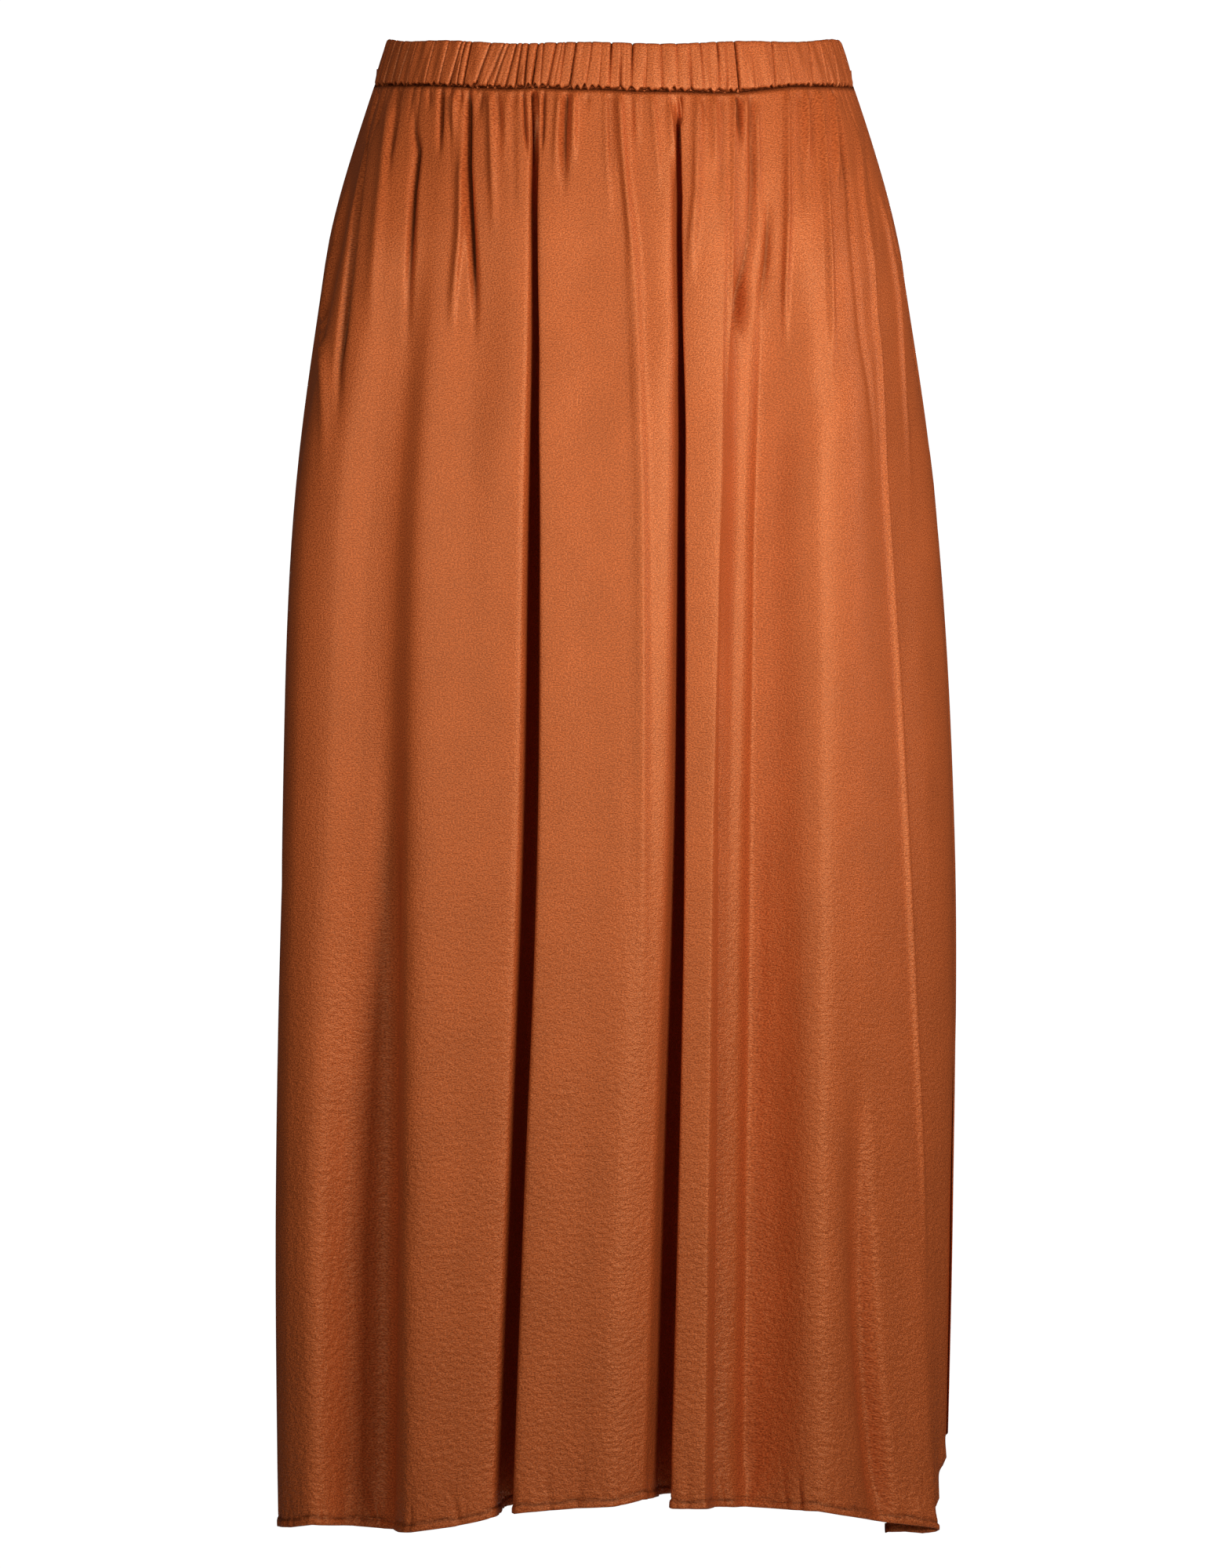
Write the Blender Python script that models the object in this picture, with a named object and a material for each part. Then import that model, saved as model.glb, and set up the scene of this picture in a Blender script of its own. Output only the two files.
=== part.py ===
"""A satin midi skirt, filled out and hanging: a gathered elastic waistband, a front and a back.

Metres, +Z up. The front faces -Y. The origin is the centre of the waistband, halfway up its sides,
where the wearer's waist holds the skirt; the waistband dips a little at the front. Each panel is a
sheet of cloth: `u` counts its columns from seam to seam, and `drop` runs down it from the waistband.
Fold tables say where each ridge and hollow of the hanging cloth lies at the waistband and at five
levels, and gathers are added towards the waistband.
"""

from collections import namedtuple

import bmesh
import bpy
import numpy as np

MM = 0.001

# Driving sizes.
BAND_HEIGHT = 25 * MM
BAND_TOP_HALF = (123.0 * MM, 94.8 * MM)  # half width and half depth of the waistband's top edge
BAND_SEAM_HALF = (130.0 * MM, 99.8 * MM)  # the same at its seam
BAND_WALL = 2.8 * MM
FRONT_DIP = 9.5 * MM  # how much lower the waistband sits at the middle of the front
DIP_EASE = 1.2  # over 1, it starts to dip gently at the side seams
DIP_FADE = 450 * MM  # the drop by which the cloth has made up for it
DIP_FADE_EASE = 1.5
CLOTH = 1.6 * MM
SEAM_GAP = 0.3 * MM
SLIT_GAP = 1.0 * MM  # between the slit's edges where it starts
SKIRT_LENGTH = 759 * MM  # from the waistband's seam to the hem, at the middle of the front
SLIT_TOP = 506 * MM  # how far down the right-hand seam the slit starts
SLIT_EASE = 1.4  # over 1, the slit opens faster towards the hem
FLAP_TOP = 712 * MM  # where the slit's front edge starts to fold back behind the panel
FLAP_ANGLE = np.radians(112)
FLAP_LINES = 3  # how many of the front's fold lines, from its slit edge in, may fold back
HEM_HEIGHT = 4 * MM
HEM_STEP = 0.7 * MM  # how far the turned hem stands out
HEM_RAMP = 0.5 * MM  # half the height over which it does so
FALL_EASE = 3  # how fast the hem's uneven hang grows down the skirt

# Gathers: each one takes two columns of the mesh, a ridge and a furrow.
GATHERS = 48  # in each panel
COLUMNS = 2 * GATHERS
BAND_GATHER = 1.5 * MM  # half the height of a gather
SKIRT_GATHER = 2.5 * MM
GATHER_SHARE = 0.7  # of a column's width: the most that a gather's half height may be
GATHER_RANGE = (0.55, 1.25)  # the lowest and highest gather, as shares of those heights
GATHER_FADE = (35 * MM, 170 * MM)  # the shortest and longest drop over which a gather fades
FADE_BIAS = 1.6  # over 1, more of them are short
FADE_EASE = 1.3
SEAM_FOLD = (0.8, 0.3)  # height and fade of the gather at each side seam
GATHER_JITTER = 0.28  # of a column
FRONT_SEED = 3
BACK_SEED = 8
SPREAD = 92 * MM  # the drop by which the cloth has left the waistband's oval for its folds
SPREAD_EASE = 1.25  # over 1, it leaves faster at first

# Levels of the fold tables, as drops from the waistband's seam.
LEVELS = np.array([90, 200, 400, 600, 759]) * MM  # yoke, hip, thigh, knee, hem

# Each row is a line that runs down the cloth. `ring` is its X at the waistband, and `across` and
# `depth` are its X and Y at the five levels, in millimetres. `soft` is 1 for a round fold and nears
# 0 for a sharp one. `fall` is how much lower than at the middle of the front the hem hangs there.
Fold = namedtuple("Fold", "name soft fall ring across depth")

FRONT_FOLDS = (
    Fold("left seam", 1.0, 17, -130, (-156, -171, -180, -178, -176), (0, 0, 0, 0, 0)),
    Fold("left ridge", 0.8, 17, -127, (-145, -166, -175, -180, -180), (-47, -46, -44, -44, -42)),
    Fold("A shoulder", 0.9, 14, -122, (-143, -160, -168, -172, -171), (-78, -93, -101, -97, -93)),
    Fold("A crown", 1.0, 12, -112, (-128, -144, -153, -160, -160), (-93, -104, -110, -105, -101)),
    Fold("A valley", 1.0, 13.5, -104, (-111, -125, -134, -139, -139), (-99, -108, -112, -98, -91)),
    Fold("A hollow", 1.0, 15, -97, (-102, -113, -120, -122, -125), (-101, -113, -117, -100, -94)),
    Fold("A edge", 0.9, 13, -90, (-94, -103, -108, -108, -107), (-104, -122, -132, -135, -135)),
    Fold("A main crown", 1.0, 9.5, -74, (-74, -75, -77, -81, -84), (-109, -127, -137, -139, -139)),
    Fold("A rolls off", 0.6, 5, -45.5, (-45, -48, -51, -58, -65), (-114, -132, -139, -139, -138)),
    Fold("crevice 1", 1.0, 1, -42, (-36, -36, -37, -43, -49), (-92, -95, -97, -97, -97)),
    Fold("B sharp edge", 0.4, 2, -39.5, (-40, -39, -39, -46, -52), (-117, -136, -147, -149, -149)),
    Fold("B middle", 1.0, -1, -13, (-13, -12, -13, -18, -20), (-118, -137, -148, -150, -150)),
    Fold("B crown", 1.0, -2, 10, (9, 11, 11, 5, 0), (-119, -138, -149, -151, -151)),
    Fold("B rolls off", 0.6, -5, 29, (30, 29, 26, 20, 15), (-118, -135, -144, -144, -144)),
    Fold("crevice 2", 1.0, -4, 33, (41, 43, 44, 40, 36), (-93, -95, -97, -97, -96)),
    Fold("C sharp edge", 0.4, 0, 35.5, (36.5, 38, 38, 35, 31), (-115, -131, -139, -141, -141)),
    Fold("C ridge", 0.35, 0, 58, (59, 57, 52, 49, 47), (-113, -130, -140, -142, -142)),
    Fold("D step", 0.8, 1, 63, (66, 65, 61, 59, 57), (-104, -114, -118, -118, -118)),
    Fold("D crinkle", 1.0, 2, 77, (80, 76, 73, 73, 73), (-101, -112, -115, -113, -113)),
    Fold("D crown", 1.0, 3, 99, (107, 111, 112, 110, 108), (-97, -113, -121, -123, -123)),
    Fold("D hollow", 1.0, 11, 109, (121, 128, 130, 132, 143), (-90, -104, -110, -105, -94)),
    Fold("inner ridge", 0.5, 18, 116, (133, 142, 153, 162, 172), (-76, -85, -84, -80, -73)),
    Fold("outer ridge", 0.7, 19, 122, (144, 156, 168, 172, 174), (-56, -60, -66, -66, -66)),
    Fold("right side", 1.0, 18, 126.5, (153, 168, 181, 180, 177), (-28, -32, -40, -53, -57)),
    Fold("right seam", 1.0, 18, 130, (155, 171, 184, 182, 178), (-8, -12, -18, -47, -49)),
)

BACK_FOLDS = (
    Fold("right seam", 1.0, 14, 130, (155, 171, 184, 182, 168), (-8, -12, -18, -18, 10)),
    Fold("right side", 1.0, 12, 126, (155, 171, 183, 180, 169), (16, 16, 16, 24, 44)),
    Fold("E crown", 1.0, 9, 121, (142, 159, 169, 168, 161), (54, 61, 69, 77, 86)),
    Fold("E hollow", 1.0, 7, 110, (121, 137, 145, 144, 137), (73, 82, 88, 90, 92)),
    Fold("F crown", 1.0, 4, 94, (99, 110, 116, 114, 108), (95, 111, 122, 126, 130)),
    Fold("F rolls off", 0.9, 3, 74, (77, 84, 89, 87, 83), (105, 125, 136, 139, 141)),
    Fold("crevice 3", 1.0, 2, 67, (64, 68, 73, 71, 66), (86, 92, 97, 97, 96)),
    Fold("G sharp edge", 0.4, 1, 63.5, (67, 72, 77, 75, 70), (107, 127, 138, 142, 143)),
    Fold("G crown", 1.0, 0, 39, (40, 43, 46, 44, 40), (113, 135, 146, 150, 152)),
    Fold("G hollow", 1.0, 0, 16, (16, 18, 19, 17, 13), (112, 131, 139, 140, 139)),
    Fold("H crown", 1.0, 0, -7, (-7, -7, -7, -9, -14), (114, 136, 148, 152, 153)),
    Fold("H rolls off", 0.9, 0, -25, (-24, -27, -28, -30, -35), (112, 132, 141, 144, 145)),
    Fold("crevice 4", 1.0, 0, -34.5, (-38, -43, -44, -46, -51), (92, 95, 97, 96, 95)),
    Fold("I sharp edge", 0.4, 1, -38, (-35, -39, -40, -42, -47), (110, 130, 140, 143, 144)),
    Fold("I crown", 1.0, 3, -61, (-62, -68, -70, -72, -76), (107, 125, 137, 141, 142)),
    Fold("I hollow", 1.0, 6, -83, (-85, -94, -99, -101, -105), (93, 104, 110, 109, 105)),
    Fold("J crown", 1.0, 8, -103, (-107, -119, -126, -128, -131), (85, 98, 106, 108, 109)),
    Fold("J hollow", 0.9, 11, -115, (-122, -139, -147, -149, -151), (62, 67, 71, 71, 69)),
    Fold("left back ridge", 0.7, 14, -123, (-139, -156, -165, -168, -169), (55, 59, 62, 61, 58)),
    Fold("left seam", 1.0, 17, -130, (-156, -171, -180, -178, -176), (0, 0, 0, 0, 0)),
)

# Rows of each panel's mesh, as drops from the seam.
ROWS = np.array([0, 12, 30, 60, 100, 150, 220, 310, 410, 506, 600, 680, 712, 726, 738, 748]) * MM
HEM_ROWS = SKIRT_LENGTH - np.array([HEM_HEIGHT + HEM_RAMP, HEM_HEIGHT - HEM_RAMP, 0])

# The waistband's outer face from top to seam: share of the height, bulge in mm, share of a gather.
BAND_OUTLINE = ((1.0, -0.2, 0.8), (0.88, 0.5, 1.0), (0.12, 0.6, 1.0), (0.0, 0.0, 0.9))

COPPER = (0.49, 0.13, 0.045, 1.0)


def smooth_step(value):
    """0 to 1 as value goes from 0 to 1, level at both ends."""
    value = np.clip(value, 0, 1)
    return value * value * (3 - 2 * value)


def at_drop(values, drop):
    """A fold's values at the five levels, read at any drop as a smooth curve."""
    slopes = np.gradient(values, LEVELS)
    index = np.clip(np.searchsorted(LEVELS, drop) - 1, 0, len(LEVELS) - 2)
    span = LEVELS[index + 1] - LEVELS[index]
    t = np.clip((drop - LEVELS[index]) / span, 0, 1)
    start, end = values[index], values[index + 1]
    ease = smooth_step(t)
    lead_in = span * slopes[index] * t * (1 - t) ** 2
    lead_out = span * slopes[index + 1] * t * t * (1 - t)
    return start + (end - start) * ease + lead_in - lead_out


def fold_columns(folds):
    """The column of the mesh that each fold line takes, shared out by the cloth between them."""
    thigh = np.array([(fold.across[2], fold.depth[2]) for fold in folds])
    cloth = np.hypot(*np.diff(thigh, axis=0).T)
    share = np.concatenate([[0], np.cumsum(cloth)]) / cloth.sum()
    columns = np.round(share * COLUMNS).astype(int)
    for i in range(1, len(columns)):
        columns[i] = max(columns[i], columns[i - 1] + 2)
    return columns


def fold_points(folds, drop):
    """X and Y of each fold line at one drop."""
    across = [at_drop(np.array(fold.across, float), drop) for fold in folds]
    depth = [at_drop(np.array(fold.depth, float), drop) for fold in folds]
    return np.stack([across, depth], axis=1) * MM


def turned(points, pivot, angle):
    """Points in plan, turned anticlockwise about a pivot."""
    turn = np.array([[np.cos(angle), np.sin(angle)], [-np.sin(angle), np.cos(angle)]])
    return pivot + (points - pivot) @ turn


def front_points(drop):
    """The front's fold lines. Its slit edge folds back along a crease that slants in to the hem."""
    points = fold_points(FRONT_FOLDS, drop)
    from_edge = np.diff(points[: -FLAP_LINES - 2 : -1], axis=0)
    reach = np.concatenate([[0], np.cumsum(np.hypot(*from_edge.T))])
    crease = reach[-1] * (drop - FLAP_TOP) / (SKIRT_LENGTH - FLAP_TOP)
    place = np.interp(crease, reach, range(FLAP_LINES + 1))
    for hinge in range(FLAP_LINES, 0, -1):
        share = max(1 - abs(place - hinge), 0)
        points[-hinge:] = turned(points[-hinge:], points[-hinge - 1], share * FLAP_ANGLE)
    return points


def back_points(drop):
    """The back's fold lines. Its right edge keeps to the front's as far down as the seam goes."""
    points = fold_points(BACK_FOLDS, drop)
    seam = front_points(min(drop, SLIT_TOP))[-1]
    opened = (max(drop - SLIT_TOP, 0) / (SKIRT_LENGTH - SLIT_TOP)) ** SLIT_EASE
    points[0] = seam + (fold_points(BACK_FOLDS, SKIRT_LENGTH)[0] - seam) * opened
    return points


def hanging_section(folds, points, u):
    """X and Y of the cloth at columns u: a smooth curve through the fold lines' points."""
    chords = np.hypot(*np.diff(points, axis=0).T)
    slopes = np.diff(points, axis=0) / chords[:, None]
    before, after = chords[:-1, None], chords[1:, None]
    inner = slopes[:-1] * after + slopes[1:] * before
    inner /= np.hypot(*inner.T)[:, None]
    soft = np.array([fold.soft for fold in folds])
    tangents = np.vstack([slopes[:1], inner, slopes[-1:]]) * soft[:, None]
    columns = fold_columns(folds)
    index = np.clip(np.searchsorted(columns, u, side="right") - 1, 0, len(folds) - 2)
    t = ((u - columns[index]) / (columns[index + 1] - columns[index]))[:, None]
    chord = chords[index][:, None]
    ease = t * t * (3 - 2 * t)
    curve = points[index] * (1 - ease) + points[index + 1] * ease
    curve += chord * tangents[index] * t * (1 - t) ** 2
    curve -= chord * tangents[index + 1] * t * t * (1 - t)
    return curve


def ring_section(angle, side, half):
    """X and Y on the waistband's oval; side is -1 for the front and 1 for the back."""
    return np.stack([side * half[0] * np.cos(angle), side * half[1] * np.sin(angle)], axis=1)


def front_dip(angle):
    """How much lower the waistband sits at an angle, which runs from 0 to pi across the front."""
    return FRONT_DIP * np.maximum(np.sin(angle), 0) ** DIP_EASE


def ring_angle(folds, side, u):
    """Where columns u meet the waistband: a smooth rising curve through the fold lines' places."""
    across = np.array([fold.ring for fold in folds]) * MM / BAND_SEAM_HALF[0]
    angles = np.arccos(side * across)
    columns = fold_columns(folds)
    slopes = np.diff(angles) / np.diff(columns)
    inner = 2 * slopes[:-1] * slopes[1:] / (slopes[:-1] + slopes[1:])
    slopes = np.concatenate([slopes[:1], inner, slopes[-1:]])
    index = np.clip(np.searchsorted(columns, u, side="right") - 1, 0, len(folds) - 2)
    span = columns[index + 1] - columns[index]
    t = (u - columns[index]) / span
    angle = angles[index] + (angles[index + 1] - angles[index]) * smooth_step(t)
    return angle + span * t * (1 - t) * (slopes[index] * (1 - t) - slopes[index + 1] * t)


def gathers(seed):
    """How tall each column's gather is, how soon it fades, and how far along the cloth it strays."""
    random = np.random.RandomState(seed)
    tall = random.uniform(*GATHER_RANGE, COLUMNS + 1)
    fade = random.uniform(0, 1, COLUMNS + 1) ** FADE_BIAS
    stray = random.uniform(-GATHER_JITTER, GATHER_JITTER, COLUMNS + 1)
    tall[[0, -1]], fade[[0, -1]] = SEAM_FOLD
    stray[[0, -1]] = 0
    return tall, fade, stray


def spread_cloth(side, folds, points, seed, drop):
    """One row of a panel without its gathers: the waistband's oval, opening out into the folds."""
    u = np.arange(COLUMNS + 1) + gathers(seed)[2]
    spread = 1 - (1 - min(drop / SPREAD, 1)) ** SPREAD_EASE
    ring = ring_section(ring_angle(folds, side, u), side, BAND_SEAM_HALF)
    return ring * (1 - spread) + hanging_section(folds, points, u) * spread


def outward(loop):
    """Unit normals in plan of a closed loop that runs anticlockwise."""
    along = np.roll(loop, -1, axis=0) - np.roll(loop, 1, axis=0)
    along /= np.hypot(*along.T)[:, None]
    return np.stack([along[:, 1], -along[:, 0]], axis=1)


def both_panels(drop):
    """Outer points and outward normals of the front and the back at one drop, without gathers."""
    level = max(drop, LEVELS[0])
    front = spread_cloth(-1, FRONT_FOLDS, front_points(level), FRONT_SEED, drop)
    back = spread_cloth(1, BACK_FOLDS, back_points(level), BACK_SEED, drop)
    normals = outward(np.vstack([front[:-1], back[:-1]]))
    front_normals = normals[: COLUMNS + 1].copy()
    back_normals = np.vstack([normals[COLUMNS:], normals[:1]])
    if drop > SLIT_TOP:
        front_normals[-1] = front_normals[-2]
        back_normals[0] = back_normals[1]
    return (front, front_normals), (back, back_normals)


def gathered(points, normals, seed, drop):
    """The row with its gathers, ridges on odd columns and furrows on even ones."""
    tall, fade, _ = gathers(seed)
    reach = GATHER_FADE[0] + (GATHER_FADE[1] - GATHER_FADE[0]) * fade
    height = SKIRT_GATHER * tall * np.exp(-((drop / reach) ** FADE_EASE))
    height = np.minimum(height, GATHER_SHARE * np.hypot(*np.gradient(points, axis=0).T))
    ridge = np.where(np.arange(COLUMNS + 1) % 2, 1, -1)
    return points + normals * (height * ridge)[:, None]


def wall_loop(points, normals, wall, gaps):
    """The closed outline of a row: its outer points, then its inner ones back again.

    Each end stops half a gap short, square to the cloth, so that the next panel fits it.
    """
    inner = points - normals * wall
    for end, aside, gap in ((0, 1, gaps[0]), (-1, -1, gaps[1])):
        along = aside * np.array([-normals[end][1], normals[end][0]])
        points[end] += along * gap / 2
        inner[end] += along * gap / 2
    return np.vstack([points, inner[::-1]])


def panel(name, which, folds, seed):
    """A panel as a loft of its rows: a wall of cloth, twice as thick along the turned hem."""
    mesh = bmesh.new()
    columns = np.arange(COLUMNS + 1)
    fall = np.interp(columns, fold_columns(folds), [fold.fall for fold in folds]) * MM
    fall = np.concatenate([fall, fall[::-1]])
    dip = front_dip(ring_angle(folds, -1, columns + gathers(seed)[2])) * (which == 0)
    dip = np.concatenate([dip, dip[::-1]])
    rows = []
    for drop in np.concatenate([ROWS, HEM_ROWS]):
        points, normals = both_panels(drop)[which]
        points = gathered(points, normals, seed, drop)
        step = HEM_STEP if drop > SKIRT_LENGTH - HEM_HEIGHT else 0
        right_gap = SLIT_GAP if drop >= SLIT_TOP else SEAM_GAP
        gaps = (SEAM_GAP, right_gap) if which == 0 else (right_gap, SEAM_GAP)
        loop = wall_loop(points + normals * step, normals, CLOTH + step, gaps)
        height = -BAND_HEIGHT / 2 - SEAM_GAP - drop - fall * (drop / SKIRT_LENGTH) ** FALL_EASE
        height -= dip * (1 - min(drop / DIP_FADE, 1)) ** DIP_FADE_EASE
        rows.append([mesh.verts.new((x, y, z)) for (x, y), z in zip(loop, height)])
    loft(mesh, rows)
    count = COLUMNS + 1
    for row, flip in ((rows[0], False), (rows[-1], True)):
        for i in range(COLUMNS):
            corners = (row[i], row[i + 1], row[2 * count - 2 - i], row[2 * count - 1 - i])
            mesh.faces.new(corners[::-1] if flip else corners)
    return finished(name, mesh)


def loft(mesh, rows):
    """Faces between rows of points, each row a closed loop and each next one lower."""
    for upper, lower in zip(rows, rows[1:]):
        for i in range(len(upper)):
            after = (i + 1) % len(upper)
            mesh.faces.new((upper[i], lower[i], lower[after], upper[after]))


def band_row(mesh, level, outwards):
    """One ring of the waistband's points, at a share of its height."""
    seam, top = np.array(BAND_SEAM_HALF), np.array(BAND_TOP_HALF)
    angle = np.arange(2 * COLUMNS) * np.pi / COLUMNS
    ring = ring_section(angle, -1, seam + (top - seam) * level)
    ring += outward(ring) * outwards[:, None]
    height = BAND_HEIGHT * (level - 0.5) - front_dip(angle)
    return [mesh.verts.new((x, y, z)) for (x, y), z in zip(ring, height)]


def waistband():
    """The elastic casing: gathered outside, plain inside."""
    tall = np.concatenate([gathers(seed)[0][:-1] for seed in (FRONT_SEED, BACK_SEED)])
    ridge = np.where(np.arange(2 * COLUMNS) % 2, 1, -1) * tall * BAND_GATHER
    mesh = bmesh.new()
    rows = [band_row(mesh, level, bulge * MM + share * ridge) for level, bulge, share in BAND_OUTLINE]
    rows += [band_row(mesh, level, np.full(2 * COLUMNS, -BAND_WALL)) for level in (0.0, 1.0)]
    loft(mesh, rows + rows[:1])
    return finished("waistband", mesh)


def finished(name, mesh):
    """An object from the mesh, smooth, in copper satin."""
    data = bpy.data.meshes.new(name)
    mesh.to_mesh(data)
    mesh.free()
    data.shade_smooth()
    data.materials.append(SATIN)
    piece = bpy.data.objects.new(name, data)
    SKIRT.objects.link(piece)
    return piece


def satin():
    """Copper-coloured satin."""
    material = bpy.data.materials.new("copper_satin")
    material.use_nodes = True
    shader = material.node_tree.nodes["Principled BSDF"]
    shader.inputs["Base Color"].default_value = COPPER
    shader.inputs["Roughness"].default_value = 0.42
    shader.inputs["Metallic"].default_value = 0.0
    return material


for existing in list(bpy.data.objects):
    bpy.data.objects.remove(existing)
SKIRT = bpy.data.collections.new("midi_skirt")
bpy.context.scene.collection.children.link(SKIRT)
SATIN = satin()

waistband()
panel("front_panel", 0, FRONT_FOLDS, FRONT_SEED)
panel("back_panel", 1, BACK_FOLDS, BACK_SEED)
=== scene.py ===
"""The looks of a satin midi skirt: its draped cloth, sewing, light and camera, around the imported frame.

Metres, +Z up, the front faces -Y, and the origin is the middle of the waistband. Each panel is one
sheet of cloth. `u` counts columns across it, from seam to seam, and `drop` runs down it from the
waistband. The fold tables give the form of the solids; gathers, creases and puckers are added to it.
"""

from collections import namedtuple

import bpy
import numpy as np
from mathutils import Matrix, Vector


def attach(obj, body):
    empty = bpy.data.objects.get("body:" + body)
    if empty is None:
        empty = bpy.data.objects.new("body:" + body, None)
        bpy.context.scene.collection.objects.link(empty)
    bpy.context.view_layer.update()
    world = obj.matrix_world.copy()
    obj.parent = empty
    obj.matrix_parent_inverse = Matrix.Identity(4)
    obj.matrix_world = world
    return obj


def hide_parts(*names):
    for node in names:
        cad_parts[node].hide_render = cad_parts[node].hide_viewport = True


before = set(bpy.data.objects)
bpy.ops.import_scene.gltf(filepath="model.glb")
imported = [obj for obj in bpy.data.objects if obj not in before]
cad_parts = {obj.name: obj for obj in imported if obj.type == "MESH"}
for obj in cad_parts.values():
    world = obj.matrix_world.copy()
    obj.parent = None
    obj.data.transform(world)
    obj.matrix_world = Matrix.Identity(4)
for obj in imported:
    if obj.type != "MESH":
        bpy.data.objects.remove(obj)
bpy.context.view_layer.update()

MM = 0.001

# ---------- the skirt's own sizes

BAND_HEIGHT = 25 * MM
BAND_TOP_HALF = (123.0 * MM, 94.8 * MM)  # half width and half depth of the waistband's top edge
BAND_SEAM_HALF = (130.0 * MM, 99.8 * MM)  # the same at its seam
FRONT_DIP = 9.5 * MM  # how much lower the waistband sits at the middle of the front
DIP_EASE = 1.2
DIP_FADE = 450 * MM  # the drop by which the cloth has made up for it
DIP_FADE_EASE = 1.5
SEAM_DROP = 0.3 * MM  # the space between the waistband and a panel
SEAM_HALF_GAP = 0.12 * MM  # half the space between the panels at their seams
SLIT_HALF_GAP = 0.5 * MM  # how much more it is at the slit
SLIT_OPENS = 6 * MM  # the length over which it becomes so
SKIRT_LENGTH = 759 * MM
SLIT_TOP = 506 * MM
SLIT_EASE = 1.4
FLAP_TOP = 712 * MM  # where the slit's front edge starts to fold back
FLAP_ANGLE = np.radians(112)
FLAP_LINES = 3  # how many of the front's fold lines it takes with it
FALL_EASE = 3
GATHERS = 48  # in a panel
COLUMNS = 2 * GATHERS
SPREAD = 92 * MM  # the drop by which the cloth has left the waistband's oval for its folds
SPREAD_EASE = 1.25
FRONT_SEED = 3
BACK_SEED = 8

LEVELS = np.array([90, 200, 400, 600, 759]) * MM  # yoke, hip, thigh, knee, hem

# `ring` is a line's X at the waistband, and `across` and `depth` are its X and Y at the five levels,
# in millimetres. `soft` nears 0 for a sharp fold, and `fall` is how much lower the hem hangs there.
Fold = namedtuple("Fold", "name soft fall ring across depth")

FRONT_FOLDS = [Fold(*row) for row in (
    ("left seam", 1, 17, -130, (-156, -171, -180, -178, -176), (0, 0, 0, 0, 0)),
    ("left ridge", 0.8, 17, -127, (-145, -166, -175, -180, -180), (-47, -46, -44, -44, -42)),
    ("A shoulder", 0.9, 14, -122, (-143, -160, -168, -172, -171), (-78, -93, -101, -97, -93)),
    ("A crown", 1, 12, -112, (-128, -144, -153, -160, -160), (-93, -104, -110, -105, -101)),
    ("A valley", 1, 13.5, -104, (-111, -125, -134, -139, -139), (-99, -108, -112, -98, -91)),
    ("A hollow", 1, 15, -97, (-102, -113, -120, -122, -125), (-101, -113, -117, -100, -94)),
    ("A edge", 0.9, 13, -90, (-94, -103, -108, -108, -107), (-104, -122, -132, -135, -135)),
    ("A main crown", 1, 9.5, -74, (-74, -75, -77, -81, -84), (-109, -127, -137, -139, -139)),
    ("A rolls off", 0.6, 5, -45.5, (-45, -48, -51, -58, -65), (-114, -132, -139, -139, -138)),
    ("crevice 1", 1, 1, -42, (-36, -36, -37, -43, -49), (-92, -95, -97, -97, -97)),
    ("B sharp edge", 0.4, 2, -39.5, (-40, -39, -39, -46, -52), (-117, -136, -147, -149, -149)),
    ("B middle", 1, -1, -13, (-13, -12, -13, -18, -20), (-118, -137, -148, -150, -150)),
    ("B crown", 1, -2, 10, (9, 11, 11, 5, 0), (-119, -138, -149, -151, -151)),
    ("B rolls off", 0.6, -5, 29, (30, 29, 26, 20, 15), (-118, -135, -144, -144, -144)),
    ("crevice 2", 1, -4, 33, (41, 43, 44, 40, 36), (-93, -95, -97, -97, -96)),
    ("C sharp edge", 0.4, 0, 35.5, (36.5, 38, 38, 35, 31), (-115, -131, -139, -141, -141)),
    ("C ridge", 0.35, 0, 58, (59, 57, 52, 49, 47), (-113, -130, -140, -142, -142)),
    ("D step", 0.8, 1, 63, (66, 65, 61, 59, 57), (-104, -114, -118, -118, -118)),
    ("D crinkle", 1, 2, 77, (80, 76, 73, 73, 73), (-101, -112, -115, -113, -113)),
    ("D crown", 1, 3, 99, (107, 111, 112, 110, 108), (-97, -113, -121, -123, -123)),
    ("D hollow", 1, 11, 109, (121, 128, 130, 132, 143), (-90, -104, -110, -105, -94)),
    ("inner ridge", 0.5, 18, 116, (133, 142, 153, 162, 172), (-76, -85, -84, -80, -73)),
    ("outer ridge", 0.7, 19, 122, (144, 156, 168, 172, 174), (-56, -60, -66, -66, -66)),
    ("right side", 1, 18, 126.5, (153, 168, 181, 180, 177), (-28, -32, -40, -53, -57)),
    ("right seam", 1, 18, 130, (155, 171, 184, 182, 178), (-8, -12, -18, -47, -49)),
)]

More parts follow.
